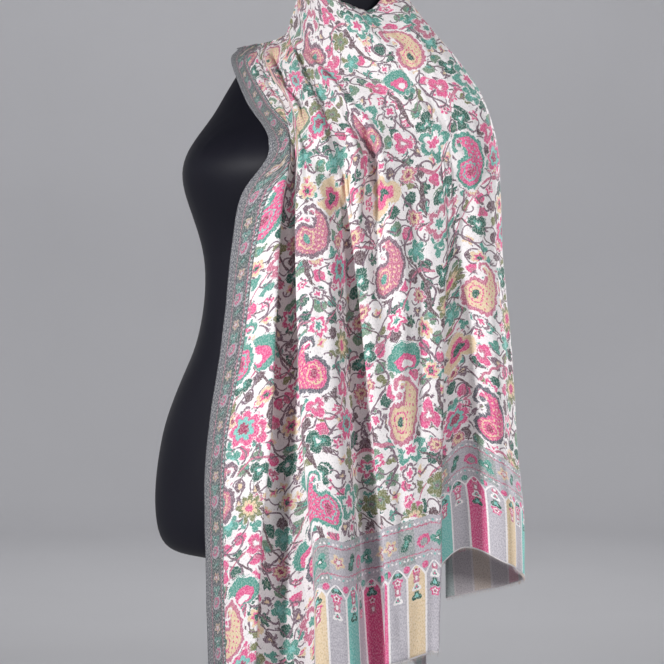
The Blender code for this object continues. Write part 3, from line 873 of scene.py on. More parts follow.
@dataclass
class DressForm:
    """The limbless form, smoothed from its plain solid."""

    node: str = "dress_form"
    name: str = "form_body"
    smoothing: int = 2
    weld: float = 0.01 * MM

    def build(self, shell: bpy.types.Material) -> bpy.types.Object:
        """Make the smooth form and stand it in for its solid.

        Args:
            shell: the form's finish.

        Returns:
            The form's object.
        """
        piece = link_mesh(self.name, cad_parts[self.node].data.copy())
        piece.data.materials.clear()
        piece.data.materials.append(shell)
        select_only(piece)
        bpy.ops.object.mode_set(mode="EDIT")
        bpy.ops.mesh.select_all(action="SELECT")
        bpy.ops.mesh.remove_doubles(threshold=self.weld)
        bpy.ops.mesh.tris_convert_to_quads()
        bpy.ops.object.mode_set(mode="OBJECT")
        smooth = piece.modifiers.new("smooth", "SUBSURF")
        smooth.levels = smooth.render_levels = self.smoothing
        bpy.ops.object.modifier_apply(modifier=smooth.name)
        bpy.ops.object.shade_smooth()
        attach(piece, BODY)
        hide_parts(self.node)
        log.info("%s: %d faces", self.name, len(piece.data.polygons))
        return piece


@dataclass
class TurnedPiece:
    """A round piece raised from a disc ring by ring, as on a lathe."""

    name: str
    node: str
    profile: tuple[tuple[float, float], ...]     # (radius, height) in millimetres
    steps: int = 96
    edge: float = 0.8 * MM
    sharp: float = math.radians(28)

    def build(self, paint: bpy.types.Material) -> bpy.types.Object:
        """Make the piece and stand it in for its solid.

        Args:
            paint: the stand's finish.

        Returns:
            The piece's object.
        """
        bpy.ops.object.select_all(action="DESELECT")
        radius, height = self.profile[0]
        bpy.ops.mesh.primitive_circle_add(
            vertices=self.steps, radius=radius * MM, fill_type="NGON",
            location=(0, 0, height * MM),
        )
        piece = bpy.context.object
        piece.name = self.name
        bpy.ops.object.transform_apply(location=True, rotation=True, scale=True)
        bpy.ops.object.mode_set(mode="EDIT")
        bpy.ops.mesh.select_all(action="SELECT")
        for wider, higher in self.profile[1:]:
            rise = (higher - height) * MM
            bpy.ops.mesh.extrude_region_move(TRANSFORM_OT_translate={"value": (0, 0, rise)})
            share = wider / radius
            bpy.ops.transform.resize(
                value=(share, share, 1), center_override=(0, 0, higher * MM)
            )
            radius, height = wider, higher
        bpy.ops.mesh.select_all(action="SELECT")
        bpy.ops.mesh.normals_make_consistent(inside=False)
        bpy.ops.object.mode_set(mode="OBJECT")
        bevel = piece.modifiers.new("soft edges", "BEVEL")
        bevel.width, bevel.segments = self.edge, 3
        bevel.limit_method, bevel.angle_limit = "ANGLE", self.sharp
        bpy.ops.object.modifier_apply(modifier=bevel.name)
        bpy.ops.object.shade_smooth_by_angle(angle=self.sharp)
        piece.data.materials.append(paint)
        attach(piece, BODY)
        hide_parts(self.node)
        log.info("%s: %d faces", self.name, len(piece.data.polygons))
        return piece


BASE_PROFILE = (
    (171, 0), (175, 3), (175, 10), (169, 14), (140, 16.8), (110, 19.3), (90, 21), (60, 23),
    (34, 24), (27, 26.5), (24, 32), (24, 56), (21, 60),
)
POLE_PROFILE = (
    (15, 60.4), (15, 579.6), (22, 583.6), (22, 611.6), (27, 614.6), (62, 614.6), (62, 619.6),
)


# --- finishes ------------------------------------------------------------------------------------


def ink(red: int, green: int, blue: int) -> tuple[float, float, float, float]:
    """Turn a given colour into linear light.

    Args:
        red: from 0 to 255.
        green: likewise.
        blue: likewise.

    Returns:
        The colour as a shader takes it, opaque.
    """

    def linear(part: float) -> float:
        """Undo the screen's tone curve for one channel."""
        return part / 12.92 if part <= 0.04045 else ((part + 0.055) / 1.055) ** 2.4

    return (*(linear(part / 255) for part in (red, green, blue)), 1.0)


class Wire:
    """A number or vector on its way through a node tree, which plain arithmetic can use."""

    def __init__(self, chart: "Chart", socket: bpy.types.NodeSocket) -> None:
        """Hold one output socket of a chart."""
        self.chart = chart
        self.socket = socket

    def __add__(self, other: "Wire | float") -> "Wire":
        """Add."""
        return self.chart.number("ADD", self, other)

    def __radd__(self, other: "Wire | float") -> "Wire":
        """Add to a plain number."""
        return self.chart.number("ADD", other, self)

    def __sub__(self, other: "Wire | float") -> "Wire":
        """Take away."""
        return self.chart.number("SUBTRACT", self, other)

    def __rsub__(self, other: "Wire | float") -> "Wire":
        """Take away from a plain number."""
        return self.chart.number("SUBTRACT", other, self)

    def __mul__(self, other: "Wire | float") -> "Wire":
        """Multiply."""
        return self.chart.number("MULTIPLY", self, other)

    def __rmul__(self, other: "Wire | float") -> "Wire":
        """Multiply a plain number."""
        return self.chart.number("MULTIPLY", other, self)

    def __truediv__(self, other: "Wire | float") -> "Wire":
        """Divide."""
        return self.chart.number("DIVIDE", self, other)

    def __lt__(self, other: "Wire | float") -> "Wire":
        """Return 1 where this is less."""
        return self.chart.number("LESS_THAN", self, other)

    def __gt__(self, other: "Wire | float") -> "Wire":
        """Return 1 where this is more."""
        return self.chart.number("GREATER_THAN", self, other)


class Chart:
    """A pattern chart: it draws with arithmetic in a material's node tree."""

    def __init__(self, tree: bpy.types.NodeTree) -> None:
        """Draw in one node tree."""
        self.tree = tree

    def feed(self, socket: bpy.types.NodeSocket, value: object) -> None:
        """Give a socket a wire or a plain value.

        Args:
            socket: the input socket.
            value: what it gets, or None to leave it alone.
        """
        if isinstance(value, Wire):
            self.tree.links.new(value.socket, socket)
        elif value is not None:
            socket.default_value = value

    def number(self, work: str, *values: "Wire | float") -> Wire:
        """Do one piece of arithmetic on numbers.

        Args:
            work: the Math node's operation.
            values: what it works on.

        Returns:
            The result.
        """
        node = self.tree.nodes.new("ShaderNodeMath")
        node.operation = work
        for socket, value in zip(node.inputs, values):
            self.feed(socket, value)
        return Wire(self, node.outputs[0])

    def vector(self, work: str, *values: object) -> Wire:
        """Do one piece of arithmetic on vectors.

        Args:
            work: the Vector Math node's operation.
            values: what it works on.

        Returns:
            The result, a vector or a number.
        """
        node = self.tree.nodes.new("ShaderNodeVectorMath")
        node.operation = work
        for socket, value in zip(node.inputs, values):
            self.feed(socket, value)
        length = work in ("LENGTH", "DISTANCE", "DOT_PRODUCT")
        return Wire(self, node.outputs["Value" if length else "Vector"])

    def scaled(self, vector: Wire, share: float) -> Wire:
        """Make a vector longer or shorter.

        Args:
            vector: the vector.
            share: how much longer.

        Returns:
            The scaled vector.
        """
        wire = self.vector("SCALE", vector)
        wire.socket.node.inputs["Scale"].default_value = share
        return wire

    def join(self, x: object, y: object, z: object = 0.0) -> Wire:
        """Make a vector of three numbers.

        Args:
            x: the first.
            y: the second.
            z: the third.

        Returns:
            The vector.
        """
        node = self.tree.nodes.new("ShaderNodeCombineXYZ")
        for socket, value in zip(node.inputs, (x, y, z)):
            self.feed(socket, value)
        return Wire(self, node.outputs[0])

    def split(self, vector: Wire) -> tuple[Wire, Wire, Wire]:
        """Take a vector or colour apart.

        Args:
            vector: the vector or colour.

        Returns:
            Its three numbers.
        """
        node = self.tree.nodes.new("ShaderNodeSeparateXYZ")
        self.feed(node.inputs[0], vector)
        return tuple(Wire(self, socket) for socket in node.outputs)

    def turned(self, vector: Wire, angle: Wire) -> Wire:
        """Turn a vector in the plane of the cloth.

        Args:
            vector: the vector.
            angle: how far, in radians.

        Returns:
            The turned vector.
        """
        node = self.tree.nodes.new("ShaderNodeVectorRotate")
        node.rotation_type = "Z_AXIS"
        self.feed(node.inputs["Vector"], vector)
        self.feed(node.inputs["Angle"], angle)
        return Wire(self, node.outputs[0])

    def dice(self, place: Wire) -> Wire:
        """Draw three random numbers that belong to a place.

        Args:
            place: the place, whose numbers are whole.

        Returns:
            The three, as a vector from 0 to 1.
        """
        node = self.tree.nodes.new("ShaderNodeTexWhiteNoise")
        node.noise_dimensions = "3D"
        self.feed(node.inputs["Vector"], place)
        return Wire(self, node.outputs["Color"])

    def drift(self, place: Wire, scale: float, detail: float = 0.0, colour: bool = True) -> Wire:
        """Make smooth noise.

        Args:
            place: where it is read.
            scale: how fine it is.
            detail: how many finer layers lie on it.
            colour: whether it is three numbers or one.

        Returns:
            The noise, about 0.5.
        """
        node = self.tree.nodes.new("ShaderNodeTexNoise")
        self.feed(node.inputs["Vector"], place)
        node.inputs["Scale"].default_value = scale
        node.inputs["Detail"].default_value = detail
        return Wire(self, node.outputs["Color" if colour else "Fac"])

    def pick(self, place: Wire, rows: list[tuple[float, float, float, float]]) -> Wire:
        """Read one row of a short table.

        Args:
            place: a number from 0 to 1 that points at the row.
            rows: the table's rows, each a colour or four other numbers.

        Returns:
            The row, as a colour.
        """
        node = self.tree.nodes.new("ShaderNodeValToRGB")
        ramp = node.color_ramp
        ramp.interpolation = "CONSTANT"
        while len(ramp.elements) > 1:
            ramp.elements.remove(ramp.elements[-1])
        for number, row in enumerate(rows):
            stop = ramp.elements[0] if number == 0 else ramp.elements.new(number / len(rows))
            stop.position = number / len(rows)
            stop.color = row
        self.feed(node.inputs[0], place)
        return Wire(self, node.outputs["Color"])

    def paint(self, under: object, over: object, where: "Wire | float") -> Wire:
        """Lay one colour over another.

        Args:
            under: the colour below.
            over: the colour on top.
            where: the mask, 1 where the top one covers.

        Returns:
            The mixed colour.
        """
        node = self.tree.nodes.new("ShaderNodeMix")
        node.data_type = "RGBA"
        self.feed(node.inputs[0], where)
        self.feed(node.inputs[6], under)
        self.feed(node.inputs[7], over)
        return Wire(self, node.outputs[2])

    def both(self, first: Wire, second: Wire) -> Wire:
        """Return a mask that is 1 where two masks are."""
        return first * second

    def wave(self, place: Wire, span: float, reach: float) -> Wire:
        """Return a zigzag of one span, from 0 to a reach."""
        return self.number("PINGPONG", place * (2 * reach / span), reach)

    def bump(self, height: Wire, strength: float, distance: float) -> Wire:
        """Tilt the surface's normal by a height.

        Args:
            height: the height.
            strength: how much of the tilt is used.
            distance: the height's unit, in metres.

        Returns:
            The normal.
        """
        node = self.tree.nodes.new("ShaderNodeBump")
        node.inputs["Strength"].default_value = strength
        node.inputs["Distance"].default_value = distance
        self.feed(node.inputs["Height"], height)
        return Wire(self, node.outputs["Normal"])


# The printer's colours, picked for the even light of a studio.
IVORY = ink(236, 231, 232)
PINK = ink(220, 88, 140)
ROSE = ink(196, 112, 138)
WINE = ink(160, 62, 96)
TEAL = ink(82, 152, 138)
SEA = ink(118, 192, 184)
GREEN = ink(44, 98, 84)
SAGE = ink(112, 142, 118)
OLIVE = ink(124, 128, 86)
SAND = ink(224, 200, 164)
MAUVE = ink(122, 98, 112)
BROWN = ink(104, 82, 88)
GREY = ink(182, 178, 186)
DOVE = ink(150, 156, 156)
PEWTER = ink(84, 88, 92)
MOSS = ink(70, 92, 84)
SLATE = ink(98, 98, 108)


class Motif(NamedTuple):
    """One kind of leaf or flower in a chart: its outline and its three colours."""

    petals: int
    waist: float      # how wide it is between its petals, as a share of its reach
    point: float      # how narrow its petals are
    reach: float      # millimetres from its middle to a petal's tip
    sit: float        # millimetres that its middle lies below the middle of its place
    ring: float       # the ring's edge, as a share of the outline
    core: float       # the core's edge, likewise
    colours: tuple[tuple[float, ...], tuple[float, ...], tuple[float, ...]]


class Cell(NamedTuple):
    """The spacing of a motif's places on the flat cloth, in millimetres."""

    width: float
    height: float
    shift_across: float
    shift_up: float
    seed: float
    jitter: float
    turn: float       # the most that a motif turns either way, in radians


SPRIGS = (
    Motif(1, 0.10, 3.0, 17, 8, 0.0, 0.0, (GREEN, GREEN, GREEN)),
    Motif(3, 0.35, 1.2, 11, 2, 0.0, 0.0, (TEAL, TEAL, TEAL)),
    Motif(5, 0.50, 1.0, 8.5, 0, 0.55, 0.30, (PINK, IVORY, WINE)),
    Motif(2, 0.20, 1.6, 11, 0, 0.0, 0.0, (OLIVE, OLIVE, OLIVE)),
    Motif(1, 0.12, 2.2, 15, 7, 0.50, 0.0, (PINK, ROSE, ROSE)),
    Motif(3, 0.40, 1.0, 10, 1, 0.40, 0.0, (MAUVE, SAND, SAND)),
    Motif(1, 0.10, 2.6, 17, 8, 0.45, 0.0, (SAGE, TEAL, TEAL)),
    Motif(5, 0.45, 0.8, 9.5, 0, 0.40, 0.0, (GREEN, SAGE, SAGE)),
    Motif(4, 0.45, 1.0, 8, 0, 0.50, 0.25, (SAND, PINK, PINK)),
    Motif(1, 0.10, 2.4, 14, 7, 0.0, 0.0, (BROWN, BROWN, BROWN)),
)
BLOSSOMS = (
    Motif(5, 0.55, 1.2, 15, 0, 0.62, 0.36, (PINK, IVORY, TEAL)),
    Motif(3, 0.42, 0.9, 18, 3, 0.50, 0.25, (PINK, ROSE, IVORY)),
    Motif(6, 0.60, 1.2, 14, 0, 0.60, 0.34, (SAND, PINK, GREEN)),
    Motif(5, 0.42, 0.7, 17, 0, 0.42, 0.0, (TEAL, SEA, SEA)),
    Motif(5, 0.35, 0.6, 18, 2, 0.40, 0.20, (OLIVE, SAGE, MAUVE)),
    Motif(4, 0.55, 1.0, 14, 0, 0.66, 0.38, (MAUVE, IVORY, PINK)),
    Motif(3, 0.38, 0.8, 18, 2, 0.45, 0.22, (GREEN, TEAL, IVORY)),
    Motif(8, 0.70, 1.0, 13, 0, 0.66, 0.34, (ROSE, SAND, WINE)),
)
SHOWPIECES = (
    Motif(1, 0.16, 1.5, 35, 16, 0.60, 0.30, (TEAL, PINK, IVORY)),
    Motif(7, 0.66, 0.9, 25, 0, 0.66, 0.36, (PINK, SEA, WINE)),
    Motif(9, 0.58, 0.8, 23, 0, 0.62, 0.34, (OLIVE, SAND, PINK)),
    Motif(5, 0.50, 0.8, 27, 0, 0.60, 0.34, (TEAL, IVORY, PINK)),
    Motif(3, 0.46, 0.8, 29, 3, 0.62, 0.30, (SAND, PINK, GREEN)),
    Motif(6, 0.60, 0.8, 25, 0, 0.60, 0.32, (ROSE, IVORY, TEAL)),
)
TRIM_MOTIFS = (
    Motif(1, 0.26, 1.5, 14, 5, 0.70, 0.40, (GREY, PINK, DOVE)),
    Motif(3, 0.40, 1.0, 9, 1, 0.40, 0.20, (TEAL, GREEN, IVORY)),
    Motif(5, 0.45, 1.0, 8, 0, 0.60, 0.34, (SAND, ROSE, IVORY)),
    Motif(2, 0.30, 1.6, 9, 0, 0.45, 0.0, (GREEN, TEAL, IVORY)),
)
ARCH_SPRIG = (
    Motif(3, 0.45, 1.0, 8.5, 0, 0.45, 0.0, (GREEN, SEA, IVORY)),
    Motif(5, 0.55, 1.0, 8.5, 0, 0.55, 0.30, (PINK, IVORY, WINE)),
    Motif(2, 0.35, 1.2, 9, 0, 0.40, 0.0, (ROSE, IVORY, PINK)),
    Motif(3, 0.45, 1.0, 8, 0, 0.50, 0.25, (IVORY, TEAL, PINK)),
)
ARCH_GROUNDS = (GREY, SEA, GREY, PINK, GREY, SAND)
ARCH_BLOSSOMS = (PINK, TEAL, PINK)

# A short table of a chart holds numbers from 0 to 1, so a motif's larger ones are divided
# by these on the way in and multiplied by them on the way out.
MOST_PETALS = 10
MOST_POINT = 5
MOST_REACH = 50


class PaisleyWay(NamedTuple):
    """The colours of one kind of large paisley."""

    rim: tuple[float, ...]
    filling: tuple[float, ...]
    heart: tuple[float, ...]
    seed: tuple[float, ...]


PAISLEY_WAYS = (
    PaisleyWay(SLATE, PINK, SAND, WINE),
    PaisleyWay(ROSE, SAND, PINK, GREEN),
    PaisleyWay(MAUVE, ROSE, SAND, TEAL),
    PaisleyWay(TEAL, PINK, SEA, WINE),
    PaisleyWay(SAGE, SAND, ROSE, OLIVE),
)

SPRIG_CELL = Cell(23, 25, 0, 0, 11, 7, math.pi)
BLOSSOM_CELL = Cell(49, 52, 17, 23, 23, 12, 1.0)
SHOWPIECE_CELL = Cell(102, 112, 64, 30, 37, 18, 0.6)
PAISLEY_CELL = Cell(146, 196, 18, 42, 41, 10, 0.45)


class Circle(NamedTuple):
    """A circle on the plan of one paisley, whose half width and half height are 1."""

    across: float
    up: float
    radius: float


class Paisley(NamedTuple):
    """A large paisley's outline and the lines inside it, on its own plan."""

    half_width: float = 30.0      # millimetres
    half_height: float = 41.0
    mirrored_from: float = 0.55   # the random number from which it is mirrored
    whole: Circle = Circle(0.0, 0.0, 1.0)
    flat_side: float = 0.1        # how far across its straight side is
    belly: Circle = Circle(-0.04, -0.42, 0.62)
    curl: Circle = Circle(0.10, 0.70, 0.34)
    bite: Circle = Circle(-0.06, 0.38, 0.25)
    teeth_middle: tuple[float, float] = (0.12, -0.1)
    teeth: float = 3.1            # for each radian
    tooth: float = 0.14
    halo: float = 0.14            # the edges, as distances out from the outline
    rim: float = 0.08
    filling: float = -0.11
    dots: float = -0.16
    dot_pitch: float = 5.2        # in each unit of the plan
    dot_radius: float = 0.21      # as a share of a dot's own square
    spiral: float = 0.17          # how far inside the curl its pale line runs
    spiral_thick: float = 0.045
    spiral_side: float = 0.24
    ring: float = 0.30            # how far inside the belly its ring runs
    ring_thick: float = 0.022
    seed: float = -0.46


PAISLEY = Paisley()


class Stem(NamedTuple):
    """One family of long waved stems on the flat cloth."""

    lean: tuple[float, float]     # how far apart they are across and up, as a direction
    sways: tuple[tuple[float, float, float], ...]   # radians a mm across and up, and the reach
    spacing: float                # millimetres, half of the repeat
    thick: float                  # millimetres
    colour: tuple[float, ...]


STEMS = (
    Stem((1.0, 0.0), ((0.0, 0.060, 17), (0.0, 0.023, 12)), 39.0, 1.9, MAUVE),
    Stem((0.72, 0.70), ((0.02, 0.047, 15),), 47.0, 1.7, BROWN),
    Stem((-0.55, 0.80), ((0.055, 0.0, 14),), 54.0, 1.7, ROSE),
)


class Tendril(NamedTuple):
    """A curl of tendril that repeats on the flat cloth, in millimetres."""

    spacing: tuple[float, float] = (33.0, 41.0)
    shift: tuple[float, float] = (9.0, 20.0)
    middle: tuple[float, float] = (16.0, 20.0)
    reach: float = 12.0
    growth: float = 2.6           # for each radian that it turns
    thick: float = 1.2


TENDRIL = Tendril()


class TrimPlan(NamedTuple):
    """The rows of a grey trim, in millimetres from its outer edge."""

    high: float
    middle: float                 # of its row of motifs
    pitch: float                  # from one motif to the next
    grown: float                  # how much larger than their table its motifs are
    lines: tuple[float, ...]
    beads: tuple[float, ...]
    grounds: tuple[tuple[float, ...], tuple[float, ...]]


class Trim(Enum):
    """The two grey trims: up a selvedge, and across an end above its arches."""

    # The selvedge's dark grounds are partly its print and partly painted shade for the border that turns from
    # the lamps.
    SELVEDGE = TrimPlan(52.0, 31.0, 18.0, 1.0, (17.0, 44.0), (48.0,), (PEWTER, MOSS))
    END = TrimPlan(62.0, 31.0, 25.0, 1.4, (12.0, 50.0), (7.0, 55.0), (GREY, DOVE))


@dataclass(frozen=True)
class WoolPrint:
    """Soft wool printed with a dense flower and paisley pattern, borders and end arches."""

    cut_width: float = CUT_WIDTH
    band_low: float = 134.0
    arch_pitch: float = 28.6
    arch_top: float = 132.0
    arch_shoulder: float = 17.0   # how far down from its point an arch is fully wide
    arch_bow: float = 0.72        # below 1 its sides bow outwards
    arch_outline: float = 1.5
    post_start: float = 0.8       # where the line between arches starts, in arch_shoulders
    sprig_row: float = 12.5       # from one sprig in an arch's head to the next
    sprig_rows: float = 4.0
    bare_point: float = 0.4       # of a sprig_row
    blossom_down: float = 3.5     # the blossom between two arches' points
    blossom_size: float = 5.0
    white_line: float = 1.25
    hem_line: float = 2.5
    trim_jog: float = 3.0         # how far the trims' print wanders
    trim_tilt: float = 0.9        # radians from one motif to the next
    line_thick: float = 0.9
    bead_pitch: float = 6.0
    bead_size: float = 1.6
    tone_run: float = 9.0         # after how long the beads change their tone
    edging: float = 14.5          # the flecked strip at the selvedge
    edging_seam: float = 8.0
    grey_print_and_shade: float = 0.48           # how far the selvedge's trim is greyed: partly its darker print, partly painted shade where the border turns from the lamps
    slow_sway: float = 16.0       # how far the print wanders, in three sizes of wave
    hand_sway: float = 7.0
    stitch_sway: float = 3.6
    stem_bend: float = 0.016
    stem_thick: float = 1.35
    stem_length: float = 0.62     # as a share of its cell
    yarn: tuple[float, float, float] = (0.62, 0.34, 1.0)   # how fine the fibres' tones are
    palest: float = 0.28          # the most that pale and dark fibres cover
    pale_from: float = 0.49
    pale_gain: float = 3.4
    darkest: float = 0.3
    dark_from: float = 0.46
    dark_gain: float = 2.2
    wrong_cover: float = 0.62
    rib: float = 1.15
    rib_height: float = 0.12      # the heights are in relief_unit
    nap_scale: float = 0.55
    nap_height: float = 0.8
    cloud_scale: float = 0.09
    cloud_height: float = 2.0
    relief_unit: float = 0.0006   # metres
    relief: float = 0.5
    roughness: float = 0.86
    roughness_spread: float = 0.16
    specular: float = 0.12
    sheen: float = 0.07
    sheen_roughness: float = 0.5
    wrong_tint: tuple[float, float, float, float] = ink(216, 206, 208)

    def material(self) -> bpy.types.Material:
        """Lay the print, the borders and the fibres over each other.

        Returns:
            The material.
        """
        material = bpy.data.materials.new("printed_wool_finish")
        material.use_nodes = True
        chart = Chart(material.node_tree)
        shader = material.node_tree.nodes["Principled BSDF"]
        node = chart.tree.nodes.new("ShaderNodeUVMap")
        node.uv_map = PLAN_MAP
        plan = chart.scaled(Wire(chart, node.outputs["UV"]), 1 / MM)
        nap = chart.drift(plan, self.nap_scale, 2.0, colour=False)

        colour = self.wrong_way_out(chart, self.printed(chart, plan))
        chart.feed(shader.inputs["Base Color"], self.heather(chart, colour, plan))
        least = self.roughness - self.roughness_spread / 2
        chart.feed(shader.inputs["Roughness"], least + nap * self.roughness_spread)
        shader.inputs["Sheen Weight"].default_value = self.sheen
        shader.inputs["Sheen Roughness"].default_value = self.sheen_roughness
        shader.inputs["Specular IOR Level"].default_value = self.specular

        across, _, _ = chart.split(plan)
        ribs = chart.number("SINE", across * (2 * math.pi / self.rib)) * self.rib_height
        cloud = chart.drift(plan, self.cloud_scale, 2.0, colour=False) * self.cloud_height
        height = ribs + nap * self.nap_height + cloud
        chart.feed(shader.inputs["Normal"], chart.bump(height, self.relief, self.relief_unit))
        return material

    def printed(self, chart: Chart, plan: Wire) -> Wire:
        """Print the field, then the selvedges' trims, then the end's band and arches.

        Args:
            chart: the chart to draw in.
            plan: the place on the flat cloth, in millimetres.

        Returns:
            The right side's colours.
        """
        across, up, _ = chart.split(plan)
        edge = chart.number("MINIMUM", across, self.cut_width - across)
        border = self.trim(chart, up, edge, Trim.SELVEDGE)
        band = self.trim(chart, across, up - self.band_low, Trim.END)
        band_top = self.band_low + Trim.END.value.high
        colour = chart.paint(self.field(chart, plan), border, edge < Trim.SELVEDGE.value.high)
        colour = chart.paint(colour, band, up < band_top)
        return chart.paint(colour, self.arches(chart, across, up), up < self.band_low)

    def wrong_way_out(self, chart: Chart, colour: Wire) -> Wire:
        """Pale the print where the cloth's wrong side is out.

        Args:
            chart: the chart to draw in.
            colour: the right side's colours.

        Returns:
            The colours of both sides.
        """
        side = chart.tree.nodes.new("ShaderNodeAttribute")
        side.attribute_name = WRONG_SIDE
        wrong = Wire(chart, side.outputs["Fac"])
        return chart.paint(colour, self.wrong_tint, wrong * self.wrong_cover)

    def heather(self, chart: Chart, colour: Wire, plan: Wire) -> Wire:
        """Mix pale and dark fibres into the colours.

        Args:
            chart: the chart to draw in.
            colour: the colours.
            plan: the place on the flat cloth, in millimetres.

        Returns:
            The mixed colours.
        """
        thread = chart.drift(chart.vector("MULTIPLY", plan, self.yarn), 1.0, 2.0, colour=False)
        pale = chart.number("MAXIMUM", (thread - self.pale_from) * self.pale_gain, 0.0)
        dark = chart.number("MAXIMUM", (self.dark_from - thread) * self.dark_gain, 0.0)
        colour = chart.paint(colour, IVORY, chart.number("MINIMUM", pale, self.palest))
        return chart.paint(colour, SLATE, chart.number("MINIMUM", dark, self.darkest))

    def places(self, chart: Chart, plan: Wire, cell: Cell) -> tuple[Wire, Wire, Wire]:
        """Find the nearest place of a half-drop repeat.

        Args:
            chart: the chart to draw in.
            plan: the place on the flat cloth, in millimetres.
            cell: the spacing of the places.

        Returns:
            How far across and up from the place's middle this is, as shares of the cell,
            and three random numbers that belong to the place.
        """
        across, up, _ = chart.split(plan)
        column_place = (across + cell.shift_across) / cell.width
        column = chart.number("FLOOR", column_place)
        drop = chart.number("PINGPONG", column, 1.0) * 0.5
        row_place = (up + cell.shift_up) / cell.height + drop
        row = chart.number("FLOOR", row_place)
        dice = chart.dice(chart.join(column, row, cell.seed))
        return column_place - column - 0.5, row_place - row - 0.5, dice

    def sow(
        self, chart: Chart, under: object, plan: Wire, cell: Cell,
        motifs: tuple[Motif, ...], halo: float, stem: tuple[float, ...] | None = None,
    ) -> Wire:
        """Print one motif in each place of a half-drop repeat.

        Args:
            chart: the chart to draw in.
            under: the colours printed so far.
            plan: the place on the flat cloth, in millimetres.
            cell: the spacing of the places.
            motifs: the kinds that the places choose from.
            halo: the bare rim round a motif, as a share of its outline, or 0.
            stem: the colour of a short stem under each motif, or None.

        Returns:
            The colours with these motifs printed over them.
        """
        across_share, up_share, dice = self.places(chart, plan, cell)
        first, second, third = chart.split(dice)
        x = across_share * cell.width + (second - 0.5) * cell.jitter
        y = up_share * cell.height + (third - 0.5) * cell.jitter
        spin = chart.number("FRACT", second * 7.0 + third * 3.0)
        local = chart.turned(chart.join(x, y), (spin - 0.5) * (2 * cell.turn))

        if stem is not None:
            x, y, _ = chart.split(local)
            bend = chart.number("ABSOLUTE", x - y * y * self.stem_bend)
            below = chart.both(y < 0.0, y > -self.stem_length * cell.height)
            under = chart.paint(under, stem, chart.both(bend < self.stem_thick, below))
        return self.print_motif(chart, under, local, first, motifs, halo)

    def vines(self, chart: Chart, under: object, plan: Wire) -> Wire:
        """Print curving stems: long waved ones and loose curls of tendril.

        Args:
            chart: the chart to draw in.
            under: the colours printed so far.
            plan: the place on the flat cloth, in millimetres.

        Returns:
            The colours with the stems printed over them.
        """
        across, up, _ = chart.split(plan)
        colour = under
        for stem in STEMS:
            lean_across, lean_up = stem.lean
            place = across * lean_across + up * lean_up
            for turn_across, turn_up, reach in stem.sways:
                place = place + chart.number("SINE", across * turn_across + up * turn_up) * reach
            away = chart.number("PINGPONG", place, stem.spacing)
            colour = chart.paint(colour, stem.colour, away < stem.thick)
        x, y = (
            chart.number("PINGPONG", way + shift, spacing) - middle
            for way, shift, spacing, middle in zip(
                (across, up), TENDRIL.shift, TENDRIL.spacing, TENDRIL.middle
            )
        )
        away = chart.vector("LENGTH", chart.join(x, y))
        turn = chart.number("ARCTAN2", y, x)
        gap = chart.number("ABSOLUTE", away - turn * TENDRIL.growth - TENDRIL.reach)
        return chart.paint(colour, MAUVE, gap < TENDRIL.thick)

    def paisleys(self, chart: Chart, under: Wire, plan: Wire) -> Wire:
        """Print large paisleys in a wide half-drop repeat.

        Args:
            chart: the chart to draw in.
            under: the colours printed so far.
            plan: the place on the flat cloth, in millimetres.

        Returns:
            The colours with the paisleys printed over them.
        """
        cell = PAISLEY_CELL
        across_share, up_share, dice = self.places(chart, plan, cell)
        first, second, third = chart.split(dice)
        flip = 1 - (first > PAISLEY.mirrored_from) * 2
        x = across_share * (cell.width / PAISLEY.half_width) * flip
        y = up_share * (cell.height / PAISLEY.half_height)
        local = chart.turned(chart.join(x, y), (second - 0.5) * (2 * cell.turn))

        # The shape is a round belly and a curled tip, bitten out where the tip bends over.
        x, y, _ = chart.split(local)
        belly = self.outside(chart, local, PAISLEY.belly)
        curl = self.outside(chart, local, PAISLEY.curl)
        bite = 0.0 - self.outside(chart, local, PAISLEY.bite)
        half = chart.number("MAXIMUM", self.outside(chart, local, PAISLEY.whole), PAISLEY.flat_side - x)
        shape = chart.number("MINIMUM", chart.number("MINIMUM", half, belly), curl)
        shape = chart.number("MAXIMUM", shape, bite)
        teeth_across, teeth_up = PAISLEY.teeth_middle
        turn = chart.number("ARCTAN2", x - teeth_across, y - teeth_up)
        teeth = chart.number("PINGPONG", turn * PAISLEY.teeth, 0.5) * PAISLEY.tooth

        rim, filling, heart, seed = (
            chart.pick(third, list(tones)) for tones in zip(*PAISLEY_WAYS)
        )
        dots = chart.both(self.dots(chart, local), shape < PAISLEY.dots)
        spiral = chart.number("ABSOLUTE", curl + PAISLEY.spiral) < PAISLEY.spiral_thick
        ring = chart.number("ABSOLUTE", belly + PAISLEY.ring) < PAISLEY.ring_thick
        colour = chart.paint(under, IVORY, shape < PAISLEY.halo)
        colour = chart.paint(colour, rim, shape + teeth < PAISLEY.rim)
        colour = chart.paint(colour, filling, shape < PAISLEY.filling)
        colour = chart.paint(colour, heart, dots)
        colour = chart.paint(colour, IVORY, chart.both(spiral, x < PAISLEY.spiral_side))
        colour = chart.paint(colour, heart, ring)
        return chart.paint(colour, seed, belly < PAISLEY.seed)

    def outside(self, chart: Chart, local: Wire, circle: Circle) -> Wire:
        """Measure how far a place lies outside a circle of a paisley.

        Args:
            chart: the chart to draw in.
            local: the place on the paisley's plan.
            circle: the circle.

        Returns:
            The distance, below zero inside.
        """
        x, y, _ = chart.split(local)
        away = chart.vector("LENGTH", chart.join(x - circle.across, y - circle.up))
        return away - circle.radius

    def dots(self, chart: Chart, local: Wire) -> Wire:
        """Dot a paisley's filling.

        Args:
            chart: the chart to draw in.
            local: the place on the paisley's plan.

        Returns:
            A mask of the dots.
        """
        fine = chart.scaled(local, PAISLEY.dot_pitch)
        middle = chart.vector("SUBTRACT", chart.vector("FRACTION", fine), (0.5, 0.5, 0.5))
        x, y, _ = chart.split(middle)
        return chart.vector("LENGTH", chart.join(x, y)) < PAISLEY.dot_radius

